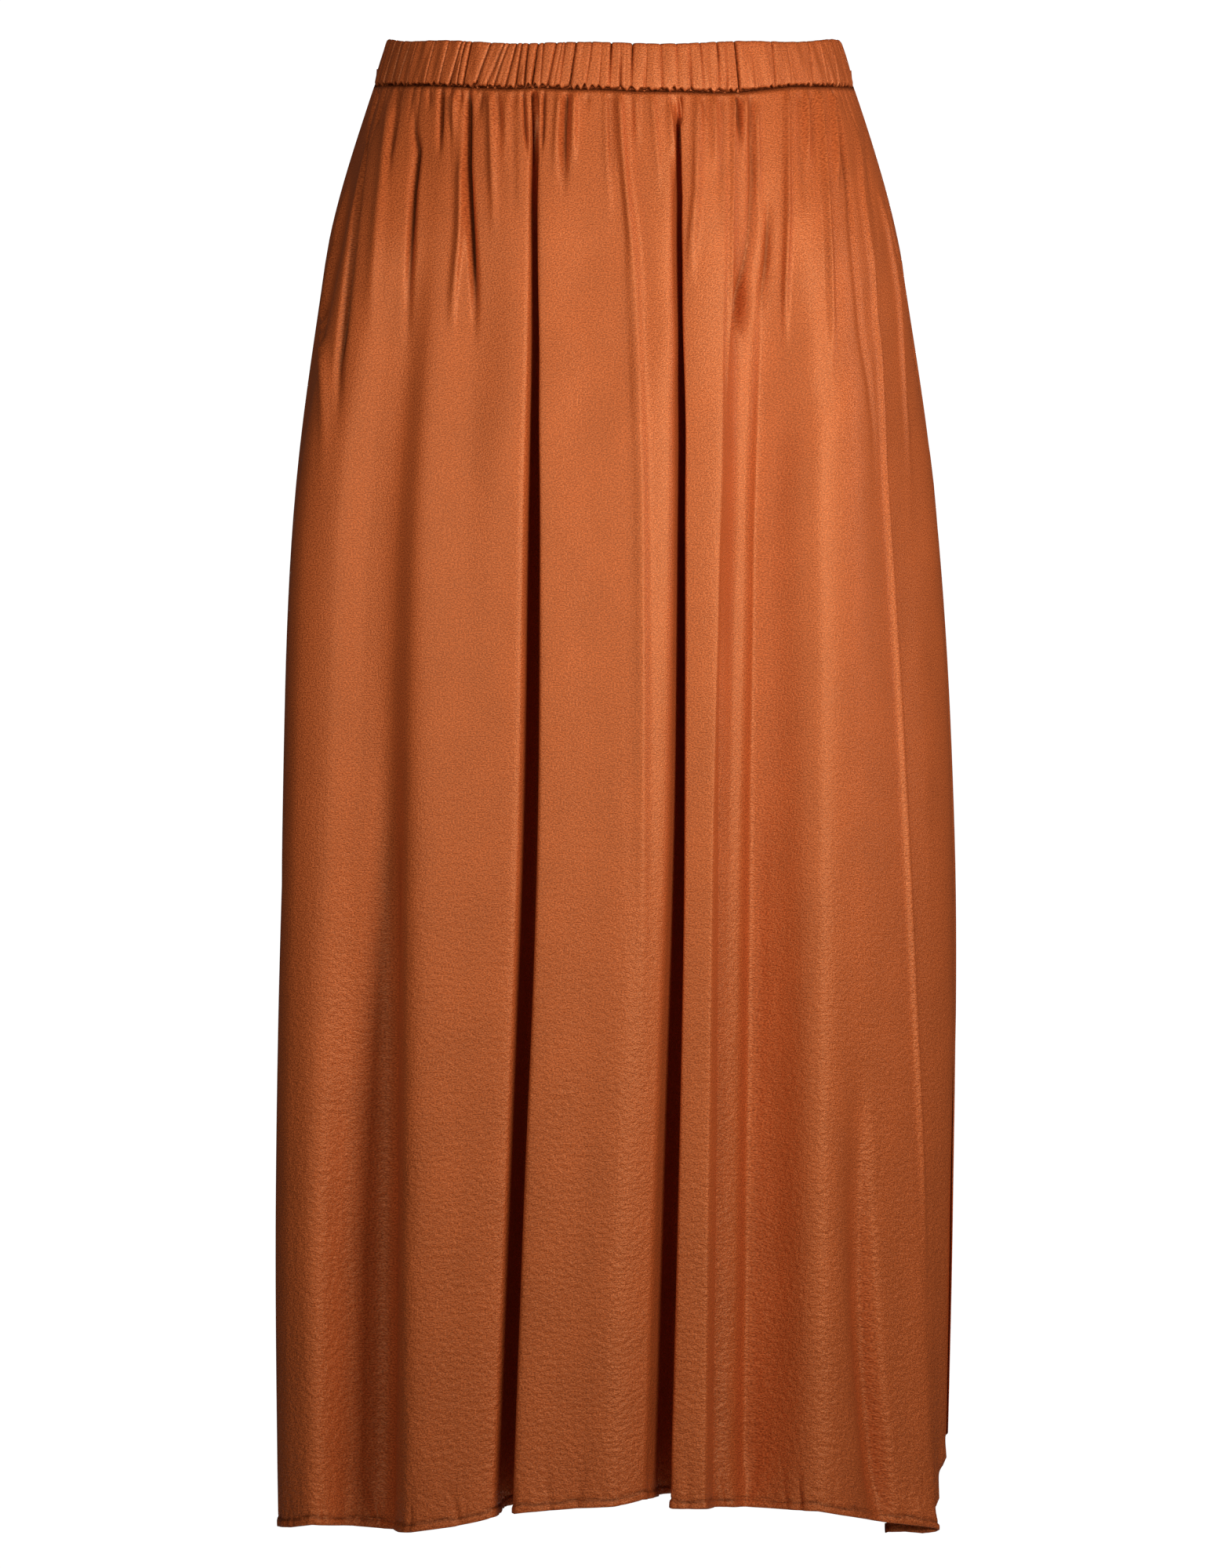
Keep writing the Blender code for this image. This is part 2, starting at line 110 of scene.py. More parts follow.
BACK_FOLDS = [Fold(*row) for row in (
    ("right seam", 1, 14, 130, (155, 171, 184, 182, 168), (-8, -12, -18, -18, 10)),
    ("right side", 1, 12, 126, (155, 171, 183, 180, 169), (16, 16, 16, 24, 44)),
    ("E crown", 1, 9, 121, (142, 159, 169, 168, 161), (54, 61, 69, 77, 86)),
    ("E hollow", 1, 7, 110, (121, 137, 145, 144, 137), (73, 82, 88, 90, 92)),
    ("F crown", 1, 4, 94, (99, 110, 116, 114, 108), (95, 111, 122, 126, 130)),
    ("F rolls off", 0.9, 3, 74, (77, 84, 89, 87, 83), (105, 125, 136, 139, 141)),
    ("crevice 3", 1, 2, 67, (64, 68, 73, 71, 66), (86, 92, 97, 97, 96)),
    ("G sharp edge", 0.4, 1, 63.5, (67, 72, 77, 75, 70), (107, 127, 138, 142, 143)),
    ("G crown", 1, 0, 39, (40, 43, 46, 44, 40), (113, 135, 146, 150, 152)),
    ("G hollow", 1, 0, 16, (16, 18, 19, 17, 13), (112, 131, 139, 140, 139)),
    ("H crown", 1, 0, -7, (-7, -7, -7, -9, -14), (114, 136, 148, 152, 153)),
    ("H rolls off", 0.9, 0, -25, (-24, -27, -28, -30, -35), (112, 132, 141, 144, 145)),
    ("crevice 4", 1, 0, -34.5, (-38, -43, -44, -46, -51), (92, 95, 97, 96, 95)),
    ("I sharp edge", 0.4, 1, -38, (-35, -39, -40, -42, -47), (110, 130, 140, 143, 144)),
    ("I crown", 1, 3, -61, (-62, -68, -70, -72, -76), (107, 125, 137, 141, 142)),
    ("I hollow", 1, 6, -83, (-85, -94, -99, -101, -105), (93, 104, 110, 109, 105)),
    ("J crown", 1, 8, -103, (-107, -119, -126, -128, -131), (85, 98, 106, 108, 109)),
    ("J hollow", 0.9, 11, -115, (-122, -139, -147, -149, -151), (62, 67, 71, 71, 69)),
    ("left back ridge", 0.7, 14, -123, (-139, -156, -165, -168, -169), (55, 59, 62, 61, 58)),
)]
BACK_FOLDS.append(FRONT_FOLDS[0])

# ---------- creases, placed one by one

# A crease runs through its (X, drop) points, in millimetres. `lift` is its height in millimetres,
# negative for a trough. `left` and `right` are its half widths. `rise` and `fade` are the lengths
# over which it comes and goes.
Crease = namedtuple("Crease", "path lift left right rise fade")

FRONT_CREASES = [Crease(*row) for row in (
    # troughs below the waistband, from left to right
    (((-128, 7), (-131, 16), (-135, 44), (-137, 59), (-141, 101), (-146, 153)), -6, 2.3, 2.6, 5, 38),
    (((-124, 4), (-127, 18)), -3, 1.5, 1.5, 3, 8),
    (((-116.5, 4), (-117, 16), (-120, 40)), -3.2, 1.8, 1.8, 4, 18),
    (((-107, 24), (-105, 36), (-107, 59), (-109, 110)), -4.6, 1.9, 2.1, 18, 40),
    (((-99, 3), (-99, 10)), -1.6, 1.5, 1.5, 3, 6),
    (((-92.5, 3), (-93, 29)), -4.4, 1.5, 1.6, 3, 12),
    (((-82, 3), (-82, 9)), -2, 1.4, 1.4, 3, 5),
    (((-78, 6), (-78, 44), (-77, 62), (-74, 112)), -6.2, 1.8, 1.9, 10, 34),
    (((-70.5, 3), (-72, 14)), -2, 1.5, 1.5, 3, 8),
    (((-62.5, 3), (-60.5, 24)), -2, 1.6, 1.6, 3, 14),
    (((-53.5, 3), (-53.5, 12)), -1.8, 1.5, 1.5, 3, 8),
    (((-53.5, 20), (-52.5, 60)), -0.8, 1.8, 1.8, 10, 20),
    (((-48.5, 3), (-47.2, 20), (-45.8, 32)), -3.2, 1, 1, 3, 6),
    (((-42.6, 3), (-42.2, 38)), -4.2, 1, 1, 3, 10),
    (((-37.4, 3), (-38, 20), (-38.6, 30)), -3, 1, 1, 3, 6),
    (((-25.1, 3), (-26.4, 29), (-26.2, 46)), -3.8, 1.6, 1.6, 3, 16),
    (((-14, 3), (-14, 9)), -1.2, 1.5, 1.5, 3, 5),
    (((-2.5, 3), (-1.3, 46)), -1.2, 1.8, 1.8, 3, 16),
    (((9.6, 6), (10.2, 46), (14.9, 80), (17, 110)), -1, 2.6, 3.6, 8, 24),
    (((31, 3), (31, 10)), -1.3, 1.4, 1.4, 3, 5),
    (((35.7, 3), (35, 20), (34.8, 30)), -2.6, 0.9, 0.9, 3, 8),
    (((47, 3), (48, 14)), -1.2, 1.5, 1.5, 3, 8),
    (((57.5, 3), (59, 20), (57, 62)), -1.1, 2.2, 2.2, 3, 24),
    (((66.4, 3), (67.7, 26)), -3.8, 1.5, 1.5, 3, 12),
    (((73, 3), (73.4, 50), (72, 80), (68.5, 101), (66, 124)), -1.9, 2, 2, 5, 14),
    (((82, 72), (80.5, 100), (78.5, 112)), -2.4, 1.8, 1.8, 14, 14),
    (((99.5, 4), (99, 29), (101, 62)), -1, 2.2, 2.2, 4, 24),
    (((105.5, 4), (107, 40)), -1.2, 1.8, 1.8, 4, 14),
    (((118.3, 3), (122, 29), (126, 66)), -4, 1.7, 2, 3, 30),
    (((126, 66), (130, 123), (138, 187)), -1.2, 3, 3, 24, 40),
    (((135, 12), (136, 40), (140, 80)), -1, 2.6, 2.6, 8, 30),
    (((146, 59), (155, 101), (164, 153)), -1.2, 2, 2, 16, 40),
    # ridges below the waistband, from left to right
    (((-144, 59), (-147, 80), (-151.5, 101), (-155, 123), (-154, 170)), 3.9, 3.4, 3.6, 20, 50),
    (((-120.5, 12), (-124, 59), (-128, 110)), 2, 4, 3, 8, 40),
    (((-84.5, 4), (-85.5, 20)), 2.5, 1.8, 1.8, 4, 12),
    (((-80.6, 40), (-81.3, 80), (-85, 118)), 3, 2.6, 1.6, 12, 28),
    (((-65.3, 4), (-64.7, 29), (-63.8, 62)), 3, 2, 1.5, 4, 22),
    (((-57, 6), (-58, 34)), 1.2, 1.8, 1.8, 5, 14),
    (((-29, 4), (-31, 40)), 2, 1.8, 1.5, 4, 22),
    (((-21, 4), (-21.5, 34)), 2.8, 1.8, 1.5, 4, 12),
    (((-4, 4), (-3, 60)), 1.2, 2, 2, 4, 30),
    (((3, 4), (4.3, 29), (6.8, 59), (9.5, 88)), 3, 2.2, 1.5, 5, 24),
    (((9.5, 88), (12, 140), (14.5, 220), (15, 330), (15, 420)), 2.4, 4, 3, 30, 130),
    (((11.5, 4), (12.3, 28)), 1.7, 1.5, 1.5, 4, 12),
    (((20, 4), (23, 42)), 2, 1.8, 1.6, 4, 20),
    (((29.4, 10), (32, 44)), 1.8, 1.7, 1.4, 6, 16),
    (((44.8, 4), (43.8, 59), (41, 90)), 3.4, 2, 1.6, 4, 24),
    (((53, 4), (54, 36)), 2.8, 1.8, 1.5, 4, 14),
    (((63.6, 4), (62.3, 50), (61, 100), (60, 150)), 2.8, 1.8, 1.2, 5, 40),
    (((70.3, 4), (69.5, 26)), 1.8, 1.4, 1.4, 4, 10),
    (((75.7, 10), (76.2, 60)), 2.1, 1.6, 1.6, 6, 20),
    (((91.9, 4), (92.5, 70), (91, 120)), 3.2, 2, 1.5, 5, 34),
    (((102.5, 4), (103.3, 34)), 2.7, 1.7, 1.5, 4, 14),
    (((109.5, 4), (112.3, 44), (114.7, 90), (116, 130)), 3.2, 2.1, 1.6, 4, 34),
    (((116.8, 4), (119, 48)), 3, 1.7, 1.4, 4, 14),
    (((131, 26), (133, 59), (138, 101), (143.4, 187), (150, 300), (157, 440), (165, 590)),
     2.2, 2.4, 1.6, 14, 60),
    (((142.5, 59), (151, 101), (155, 153), (158, 187)), 2, 3, 2.4, 14, 60),
    # the dent beside ridge C, and the long quiet folds
    (((65, 106), (66, 120), (63, 132)), -5.6, 2.6, 5, 14, 9),
    (((69, 245), (68, 262)), -1.4, 5, 6, 14, 16),
    (((79, 130), (76, 220), (73, 400), (71, 757)), -5.4, 4, 23, 60, 30),
    (((57, 300), (56, 470), (54, 757)), -4, 3, 5, 90, 30),
    (((75, 400), (74, 500), (72, 620), (71, 700), (71, 757)), -2.4, 5, 5, 80, 30),
    (((71, 690), (71, 757)), -3.4, 8, 8, 60, 30),
    (((131, 590), (135, 675), (141, 740), (143, 757)), -9, 10, 5.5, 90, 30),
    (((-119, 430), (-123, 600), (-125, 757)), -8, 12, 9, 130, 30),
)]

BACK_CREASES = [Crease(*row) for row in (
    (((-120, 2), (-122, 30)), -1.8, 1.9, 1.5, 4, 22),
    (((-96, 2), (-101, 60), (-108, 130)), -2.6, 2.2, 1.8, 4, 90),
    (((-84, 3), (-86, 30)), -1.6, 1.7, 1.7, 4, 22),
    (((-71, 4), (-74, 70), (-76, 110)), 1.5, 3.6, 2, 8, 70),
    (((-58, 2), (-60, 60)), -2, 1.9, 1.6, 4, 42),
    (((-45, 2), (-42, 50)), -2.8, 1.8, 1.5, 3, 14),
    (((-35, 2), (-38, 48)), -2.6, 1.6, 1.6, 3, 14),
    (((-20, 3), (-19, 40)), -1.6, 1.8, 1.8, 4, 28),
    (((-6, 6), (-5, 90), (-6, 160)), 1.5, 4.6, 2.6, 12, 100),
    (((9, 2), (10, 56)), -2, 2, 1.6, 4, 40),
    (((24, 3), (25, 34)), -1.4, 1.8, 1.8, 4, 26),
    (((38, 4), (40, 80), (42, 130)), 1.4, 4, 2.2, 8, 80),
    (((56, 2), (62, 52)), -2.8, 1.7, 1.5, 3, 12),
    (((66, 2), (65, 50)), -2.6, 1.6, 1.6, 3, 12),
    (((83, 2), (87, 60), (92, 110)), -2.2, 2.4, 1.8, 4, 70),
    (((99, 4), (104, 66)), 1.5, 3, 1.8, 8, 44),
    (((112, 2), (117, 44)), -1.8, 2, 1.8, 4, 30),
    (((-70, 300), (-71, 520), (-74, 757)), 1.6, 12, 9, 110, 60),
    (((-126, 380), (-128, 560), (-130, 757)), 1.7, 10, 8, 90, 60),
    (((30, 330), (30, 560), (26, 757)), -2, 6, 5, 90, 50),
    (((100, 420), (99, 600), (95, 757)), -1.8, 6, 5, 90, 50),
)]

# `side` is -1 for the front and 1 for the back.
Panel = namedtuple("Panel", "side folds creases seed")

PANELS = (
    Panel(-1, FRONT_FOLDS, FRONT_CREASES, FRONT_SEED),
    Panel(1, BACK_FOLDS, BACK_CREASES, BACK_SEED),
)

# ---------- the drape


def smooth_step(value):
    value = np.clip(value, 0, 1)
    return value * value * (3 - 2 * value)


def cubic(t, span, start, end, leaving, arriving):
    """A smooth curve at a share t of its span, with its slopes at both ends."""
    lead = leaving * (1 - t) - arriving * t
    return start + (end - start) * smooth_step(t) + span * t * (1 - t) * lead


def at_drop(values, drop):
    """A fold's values at the five levels, read at any drop as a smooth curve."""
    slopes = np.gradient(values, LEVELS)
    index = np.clip(np.searchsorted(LEVELS, drop) - 1, 0, len(LEVELS) - 2)
    span = LEVELS[index + 1] - LEVELS[index]
    t = np.clip((drop - LEVELS[index]) / span, 0, 1)
    return cubic(t, span, values[index], values[index + 1], slopes[index], slopes[index + 1])


def fold_columns(folds):
    """The column that each fold line takes, shared out by the cloth between them."""
    thigh = np.array([(fold.across[2], fold.depth[2]) for fold in folds])
    cloth = np.hypot(*np.diff(thigh, axis=0).T)
    share = np.concatenate([[0], np.cumsum(cloth)]) / cloth.sum()
    columns = np.round(share * COLUMNS).astype(int)
    for i in range(1, len(columns)):
        columns[i] = max(columns[i], columns[i - 1] + 2)
    return columns


def fold_points(folds, drop):
    across = [at_drop(np.array(fold.across, float), drop) for fold in folds]
    depth = [at_drop(np.array(fold.depth, float), drop) for fold in folds]
    return np.stack([across, depth], axis=1) * MM


def turned(points, pivot, angle):
    """Points in plan, turned anticlockwise about a pivot."""
    turn = np.array([[np.cos(angle), np.sin(angle)], [-np.sin(angle), np.cos(angle)]])
    return pivot + (points - pivot) @ turn


def front_points(drop):
    """The front's fold lines. Its slit edge folds back along a crease that slants in to the hem."""
    points = fold_points(FRONT_FOLDS, drop)
    from_edge = np.diff(points[: -FLAP_LINES - 2 : -1], axis=0)
    reach = np.concatenate([[0], np.cumsum(np.hypot(*from_edge.T))])
    crease = reach[-1] * (drop - FLAP_TOP) / (SKIRT_LENGTH - FLAP_TOP)
    place = np.interp(crease, reach, range(FLAP_LINES + 1))
    for hinge in range(FLAP_LINES, 0, -1):
        share = max(1 - abs(place - hinge), 0)
        points[-hinge:] = turned(points[-hinge:], points[-hinge - 1], share * FLAP_ANGLE)
    return points


def back_points(drop):
    """The back's fold lines. Its right edge keeps to the front's as far down as the seam goes."""
    points = fold_points(BACK_FOLDS, drop)
    seam = front_points(min(drop, SLIT_TOP))[-1]
    opened = (max(drop - SLIT_TOP, 0) / (SKIRT_LENGTH - SLIT_TOP)) ** SLIT_EASE
    points[0] = seam + (fold_points(BACK_FOLDS, SKIRT_LENGTH)[0] - seam) * opened
    return points


def hanging_section(folds, points, u):
    """X and Y of the cloth at columns u: a smooth curve through the fold lines' points."""
    chords = np.hypot(*np.diff(points, axis=0).T)
    slopes = np.diff(points, axis=0) / chords[:, None]
    before, after = chords[:-1, None], chords[1:, None]
    inner = slopes[:-1] * after + slopes[1:] * before
    inner /= np.hypot(*inner.T)[:, None]
    soft = np.array([fold.soft for fold in folds])
    tangents = np.vstack([slopes[:1], inner, slopes[-1:]]) * soft[:, None]
    columns = fold_columns(folds)
    index = np.clip(np.searchsorted(columns, u, side="right") - 1, 0, len(folds) - 2)
    t = ((u - columns[index]) / (columns[index + 1] - columns[index]))[:, None]
    chord = chords[index][:, None]
    return cubic(t, chord, points[index], points[index + 1], tangents[index], tangents[index + 1])


def ring_section(angle, side, half):
    """X and Y on the waistband's oval; side is -1 for the front and 1 for the back."""
    return np.stack([side * half[0] * np.cos(angle), side * half[1] * np.sin(angle)], axis=1)


def front_dip(angle):
    """How much lower the waistband sits at an angle, which runs from 0 to pi across the front."""
    return FRONT_DIP * np.maximum(np.sin(angle), 0) ** DIP_EASE


def ring_angle(folds, side, u):
    """Where columns u meet the waistband: a smooth rising curve through the fold lines' places."""
    across = np.array([fold.ring for fold in folds]) * MM / BAND_SEAM_HALF[0]
    angles = np.arccos(side * across)
    columns = fold_columns(folds)
    slopes = np.diff(angles) / np.diff(columns)
    inner = 2 * slopes[:-1] * slopes[1:] / (slopes[:-1] + slopes[1:])
    slopes = np.concatenate([slopes[:1], inner, slopes[-1:]])
    index = np.clip(np.searchsorted(columns, u, side="right") - 1, 0, len(folds) - 2)
    span = columns[index + 1] - columns[index]
    t = (u - columns[index]) / span
    return cubic(t, span, angles[index], angles[index + 1], slopes[index], slopes[index + 1])


def outward(loop):
    """Unit normals in plan of a closed loop that runs anticlockwise."""
    along = np.roll(loop, -1, axis=0) - np.roll(loop, 1, axis=0)
    along /= np.hypot(*along.T)[:, None]
    return np.stack([along[:, 1], -along[:, 0]], axis=1)


# ---------- a panel's grid of points

ACROSS = 890  # samples across a panel
FINE = 6001  # points of a row at which its bend is measured
BEND_SPAN = 41  # how many of them a bend is evened over
BEND_SHARE = 0.30  # how much the bend and the columns count, beside the cloth's length
COLUMN_SHARE = 0.5
# Painted shade, darkening the colour where the mesh is too coarse to cast it: a band below the
# waistband's seam, and the bottoms of narrow creases.
SEAM_SHADE = 1.5 * MM  # how far the shade of the waistband's seam reaches down the panel
PAINTED_SHADE_WIDTH = 3.0  # in millimetres: the bottoms of creases narrower than this are shaded
PAINTED_SHADE_DEPTH = 5.0  # in millimetres: fully so if they are this deep
PAINTED_SHADE_SHARE = 0.6  # of a crease's width
CALM_SPAN = 67  # samples over which normals are evened
CALM_DROPS = (60 * MM, 200 * MM)  # the drops between which that fades
EDGE_EASE = 6 * MM  # how near its side edges a panel's creases fade
SLIT_EDGE_SHARE = 0.3  # how much of them is left at the slit's edge

# A panel's rows in bands of drops, in millimetres: from, to, and how many.
ROW_BANDS = ((0, 12, 9), (12, 62, 15), (62, 200, 20), (200, 700, 32), (700, 750, 13), (750, 759, 9))


def sample_columns(folds, points):
    """Where a panel is sampled: evenly along its cloth, and closer where a fold is sharp."""
    fine = np.linspace(0, COLUMNS, FINE)
    curve = hanging_section(folds, points, fine)
    step = np.diff(curve, axis=0)
    length = np.hypot(*step.T)
    heading = np.unwrap(np.arctan2(step[:, 1], step[:, 0]))
    bend = np.abs(np.gradient(heading))
    smooth = np.convolve(bend, np.ones(BEND_SPAN) / BEND_SPAN, mode="same")
    weight = length / length.sum() + BEND_SHARE * smooth / smooth.sum() + COLUMN_SHARE / len(length)
    share = np.concatenate([[0], np.cumsum(weight)]) / weight.sum()
    return np.interp(np.linspace(0, 1, ACROSS), share, fine)


def calm(normal, drop):
    """Normals of a row, evened out along the cloth near the waistband so that creases stay clean."""
    window = np.hanning(CALM_SPAN)
    window = window / window.sum()
    padded = np.pad(normal, ((CALM_SPAN // 2, CALM_SPAN // 2), (0, 0)), mode="edge")
    even = np.stack([np.convolve(padded[:, k], window, mode="valid") for k in (0, 1)], axis=1)
    even /= np.hypot(*even.T)[:, None]
    share = 1 - smooth_step((drop - CALM_DROPS[0]) / (CALM_DROPS[1] - CALM_DROPS[0]))
    mixed = normal + (even - normal) * share
    return mixed / np.hypot(*mixed.T)[:, None]


def row_drops():
    """How far down each row of a panel lies; the last row is the hem's edge."""
    hem = ROW_BANDS[-1][1]
    parts = [np.linspace(start, end, rows, endpoint=end == hem) for start, end, rows in ROW_BANDS]
    return np.concatenate(parts) * MM


def along_cloth(points):
    """How far along the cloth each point of a row lies."""
    step = np.hypot(*np.diff(points, axis=0).T)
    return np.concatenate([[0], np.cumsum(step)])


# How deep the front's gathers are, as shares, by -cos of their angle round it.
FRONT_GATHERS = ((-1, 1.0), (-0.4, 0.8), (-0.1, 0.35), (0.8, 0.3), (1, 0.7))
GATHER_DEPTH = (0.5, 1.7)  # in millimetres: the least, and how much deeper the deepest are
GATHER_HALF = (0.22, 0.42)  # half widths, in columns
GATHER_REACH = (6, 20, 10)  # in millimetres: the least, more by chance, and more with depth
GATHER_STRAY = 0.6  # in columns: how far from even they stand
GATHER_SWAY = 0.010  # in columns for each millimetre down


def gather_height(angle, side, seed, drop):
    """Small gathers from the waistband, behind the creases: flat ridges with narrow furrows."""
    random = np.random.RandomState(seed + 40)
    share = np.interp(-np.cos(angle), *zip(*FRONT_GATHERS)) if side < 0 else 1.0
    place = angle * COLUMNS / np.pi
    count = GATHERS + 1
    centres = np.arange(count) * 2 + random.uniform(-GATHER_STRAY, GATHER_STRAY, count)
    centres[[0, -1]] = 0, COLUMNS
    deep = random.uniform(0, 1, count) ** 2.4
    depth = GATHER_DEPTH[0] + GATHER_DEPTH[1] * deep
    width = random.uniform(*GATHER_HALF, count)
    least, chance, more = GATHER_REACH
    reach = least + chance * random.uniform(0, 1, count) ** 2 + more * deep
    sway = random.uniform(-GATHER_SWAY, GATHER_SWAY, count)
    drop_mm = max(drop, 0) / MM
    height = np.zeros(len(place))
    for k in range(count):
        away = (place - centres[k] - sway[k] * drop_mm) / width[k]
        shrink = np.exp(-((drop_mm / reach[k]) ** 1.5))
        height -= depth[k] * shrink / (1 + away * away) ** 1.5
    return height * share * MM


def crease_height(creases, points, cloth, drop, side):
    """What the creases add at this drop, measured along the cloth, and the painted shade in their narrow
    bottoms.
    """
    drop_mm = drop / MM
    x, y = points[:, 0] / MM, points[:, 1] * side
    height, painted_shade = np.zeros(len(points)), np.zeros(len(points))
    for crease in creases:
        path = np.array(crease.path, float)
        top, foot = path[0, 1], path[-1, 1]
        if not top - crease.rise < drop_mm < foot + crease.fade:
            continue
        line = np.interp(drop_mm, path[:, 1], path[:, 0])
        crossed = np.nonzero((x[:-1] - line) * (x[1:] - line) <= 0)[0]
        if not len(crossed):
            continue
        at = crossed[np.argmax(y[crossed])]
        share = (line - x[at]) / (x[at + 1] - x[at] + 1e-12)
        centre = cloth[at] + (cloth[at + 1] - cloth[at]) * np.clip(share, 0, 1)
        away = (cloth - centre) / MM * (1 if side < 0 else -1)
        width = np.where(away < 0, crease.left, crease.right)
        begin = smooth_step((drop_mm - top + crease.rise) / (2 * crease.rise))
        end = smooth_step((foot + crease.fade - drop_mm) / (2 * crease.fade))
        height += crease.lift * begin * end * np.exp(-((away / width) ** 2))
        # Painted shade: the bottom of a narrow trough is marked to be darkened in the material.
        if crease.lift < 0 and max(crease.left, crease.right) < PAINTED_SHADE_WIDTH:
            depth = -crease.lift * begin * end / PAINTED_SHADE_DEPTH
            bottom = np.exp(-((away / (PAINTED_SHADE_SHARE * width)) ** 2))
            painted_shade = np.maximum(painted_shade, np.clip(depth, 0, 1) * bottom)
    return height * MM, painted_shade


WAVES = 14
WAVE_ACROSS = (0.035, 0.16)  # their lengths across and down, in metres
WAVE_DOWN = (0.5, 1.6)
WAVE_SWAY = 0.012
WAVE_HEIGHT = 0.0016  # as a share of the length across
WAVE_START = 0.15  # the drop by which they are full


def quiet_waves(cloth, drop, seed):
    """Low waves over the whole panel, a millimetre or so high, so that no part of it is flat."""
    random = np.random.RandomState(seed + 70)
    height = np.zeros(len(cloth))
    for _ in range(WAVES):
        across = random.uniform(*WAVE_ACROSS)
        down = random.uniform(*WAVE_DOWN)
        phase = random.uniform(0, 2 * np.pi, 2)
        sway = WAVE_SWAY * np.sin(drop / down * 2 * np.pi + phase[1])
        height += across * np.sin((cloth + sway) / across * 2 * np.pi + phase[0])
    return height * WAVE_HEIGHT * smooth_step(drop / WAVE_START)


# Sizes at the hem, in millimetres.
HEM_REACH = 60  # above it the stitches pull no more
GROOVE_PLACE = 3.9  # how far over the edge the groove of the stitches runs
GROOVE_HALF = 0.7
GROOVE_DEPTH = 0.6
# Painted shade along the groove of the hem's stitches.
GROOVE_SHADE = 0.7
TURNED_TOP = 4.4  # where the turned cloth ends inside
TURNED_LIFT = 0.7
PUCKERS = 170
PUCKER_HALF = (1.0, 2.6)
PUCKER_REACH = (4, 22)
PUCKER_LIFT = (-1.1, 0.5)
PUCKER_LEAN = 0.3  # for each millimetre up
PUCKER_FOOT = 3


def hem_puckers(cloth, drop, seed):
    """The pull of the hem's stitches: a groove with short puckers, and the groove's shade."""
    random = np.random.RandomState(seed + 90)
    above = (SKIRT_LENGTH - drop) / MM
    if above > HEM_REACH:
        return np.zeros(len(cloth)), np.zeros(len(cloth))
    waver = 0.35 * np.sin(cloth / (5.3 * MM)) + 0.25 * np.sin(cloth / (2.1 * MM) + 1.0)
    groove = np.exp(-(((above - GROOVE_PLACE - waver) / GROOVE_HALF) ** 2))
    height = TURNED_LIFT * smooth_step(TURNED_TOP + waver - above) - GROOVE_DEPTH * groove
    for _ in range(PUCKERS):
        centre = random.uniform(0, cloth[-1])
        width = random.uniform(*PUCKER_HALF) * MM
        reach = random.uniform(*PUCKER_REACH)
        lift = random.uniform(*PUCKER_LIFT)
        lean = random.uniform(-PUCKER_LEAN, PUCKER_LEAN)
        away = (cloth - centre - lean * (above - PUCKER_FOOT) * MM) / width
        fade = np.exp(-((max(above - PUCKER_FOOT, 0) / reach) ** 2))
        height += lift * fade * np.exp(-away * away)
    return height * MM, GROOVE_SHADE * groove


RECESS_DEPTH = 3.0 * MM
RECESS_REACH = 2.2 * MM


def seam_recess(drop):
    """The cloth dips towards the waistband's seam."""
    return -RECESS_DEPTH * (1 - np.sqrt(1 - np.clip(1 - drop / RECESS_REACH, 0, 1) ** 2))


# Height of the waistband's seam over its mean line, in millimetres, by X on the front and the back.
SEAM_LINE_FRONT = (
    (-130, 0.8), (-121, 1.0), (-97, 1.4), (-81, 1.0), (-57, 0.3), (-41, 1.2), (-25, 0.4),
    (-8, 0.4), (10, -0.6), (36, -0.9), (47, -1.5), (60, -1.8), (68, -1.6), (81, -0.4), (96, 0.9),
    (113, 0.6), (124, 0.2), (130, 0.0),
)
SEAM_LINE_BACK = (
    (-129, -1.4), (-90, 0.9), (-50, -0.8), (-10, 0.6), (30, -0.6), (70, 1.0), (110, -0.4), (129, 0.0),
)
SEAM_LINE_FADE = 14 * MM  # how far down the cloth follows that line


def seam_line(x, side):
    table = SEAM_LINE_FRONT if side < 0 else SEAM_LINE_BACK
    return np.interp(x / MM, *zip(*table)) * MM


def row_plans(drop, samples, rings):
    """X and Y of both panels at a drop, between the waistband's oval and the hanging folds."""
    level = max(drop, LEVELS[0])
    spread = 1 - (1 - np.clip(drop / SPREAD, 0, 1)) ** SPREAD_EASE
    folds = front_points(level), back_points(level)
    plans = []
    for panel, points, u, ring in zip(PANELS, folds, samples, rings):
        plans.append(ring * (1 - spread) + hanging_section(panel.folds, points, u) * spread)
    return plans


def row_normals(plans, drop):
    """Outward normals of both panels, which share those at the seams but not those at the slit."""
    loop = outward(np.vstack([plans[0][:-1], plans[1][:-1]]))
    normals = [loop[:ACROSS].copy(), np.vstack([loop[ACROSS - 1:], loop[:1]])]
    if drop > SLIT_TOP:
        normals[0][-1] = normals[0][-2]
        normals[1][0] = normals[1][1]
    return normals


def row_height(panel, plan, cloth, angle, drop):
    """How far a row's cloth stands out from its folds, and its shade."""
    height = gather_height(angle, panel.side, panel.seed, drop) + quiet_waves(cloth, drop, panel.seed)
    creased, painted_shade = crease_height(panel.creases, plan, cloth, drop, panel.side)
    height += creased
    puckers, groove = hem_puckers(cloth, drop, panel.seed)
    height += puckers + seam_recess(drop)
    edge = np.minimum(cloth, cloth[-1] - cloth)
    height *= smooth_step(edge / EDGE_EASE + (0 if drop < SLIT_TOP else SLIT_EDGE_SHARE))
    # The shade returned is painted shade: crease bottoms, the hem's stitch groove, and a band just below
    # the waistband's seam.
    return height, np.maximum(np.maximum(painted_shade, groove), np.exp(-((drop / SEAM_SHADE) ** 2)))


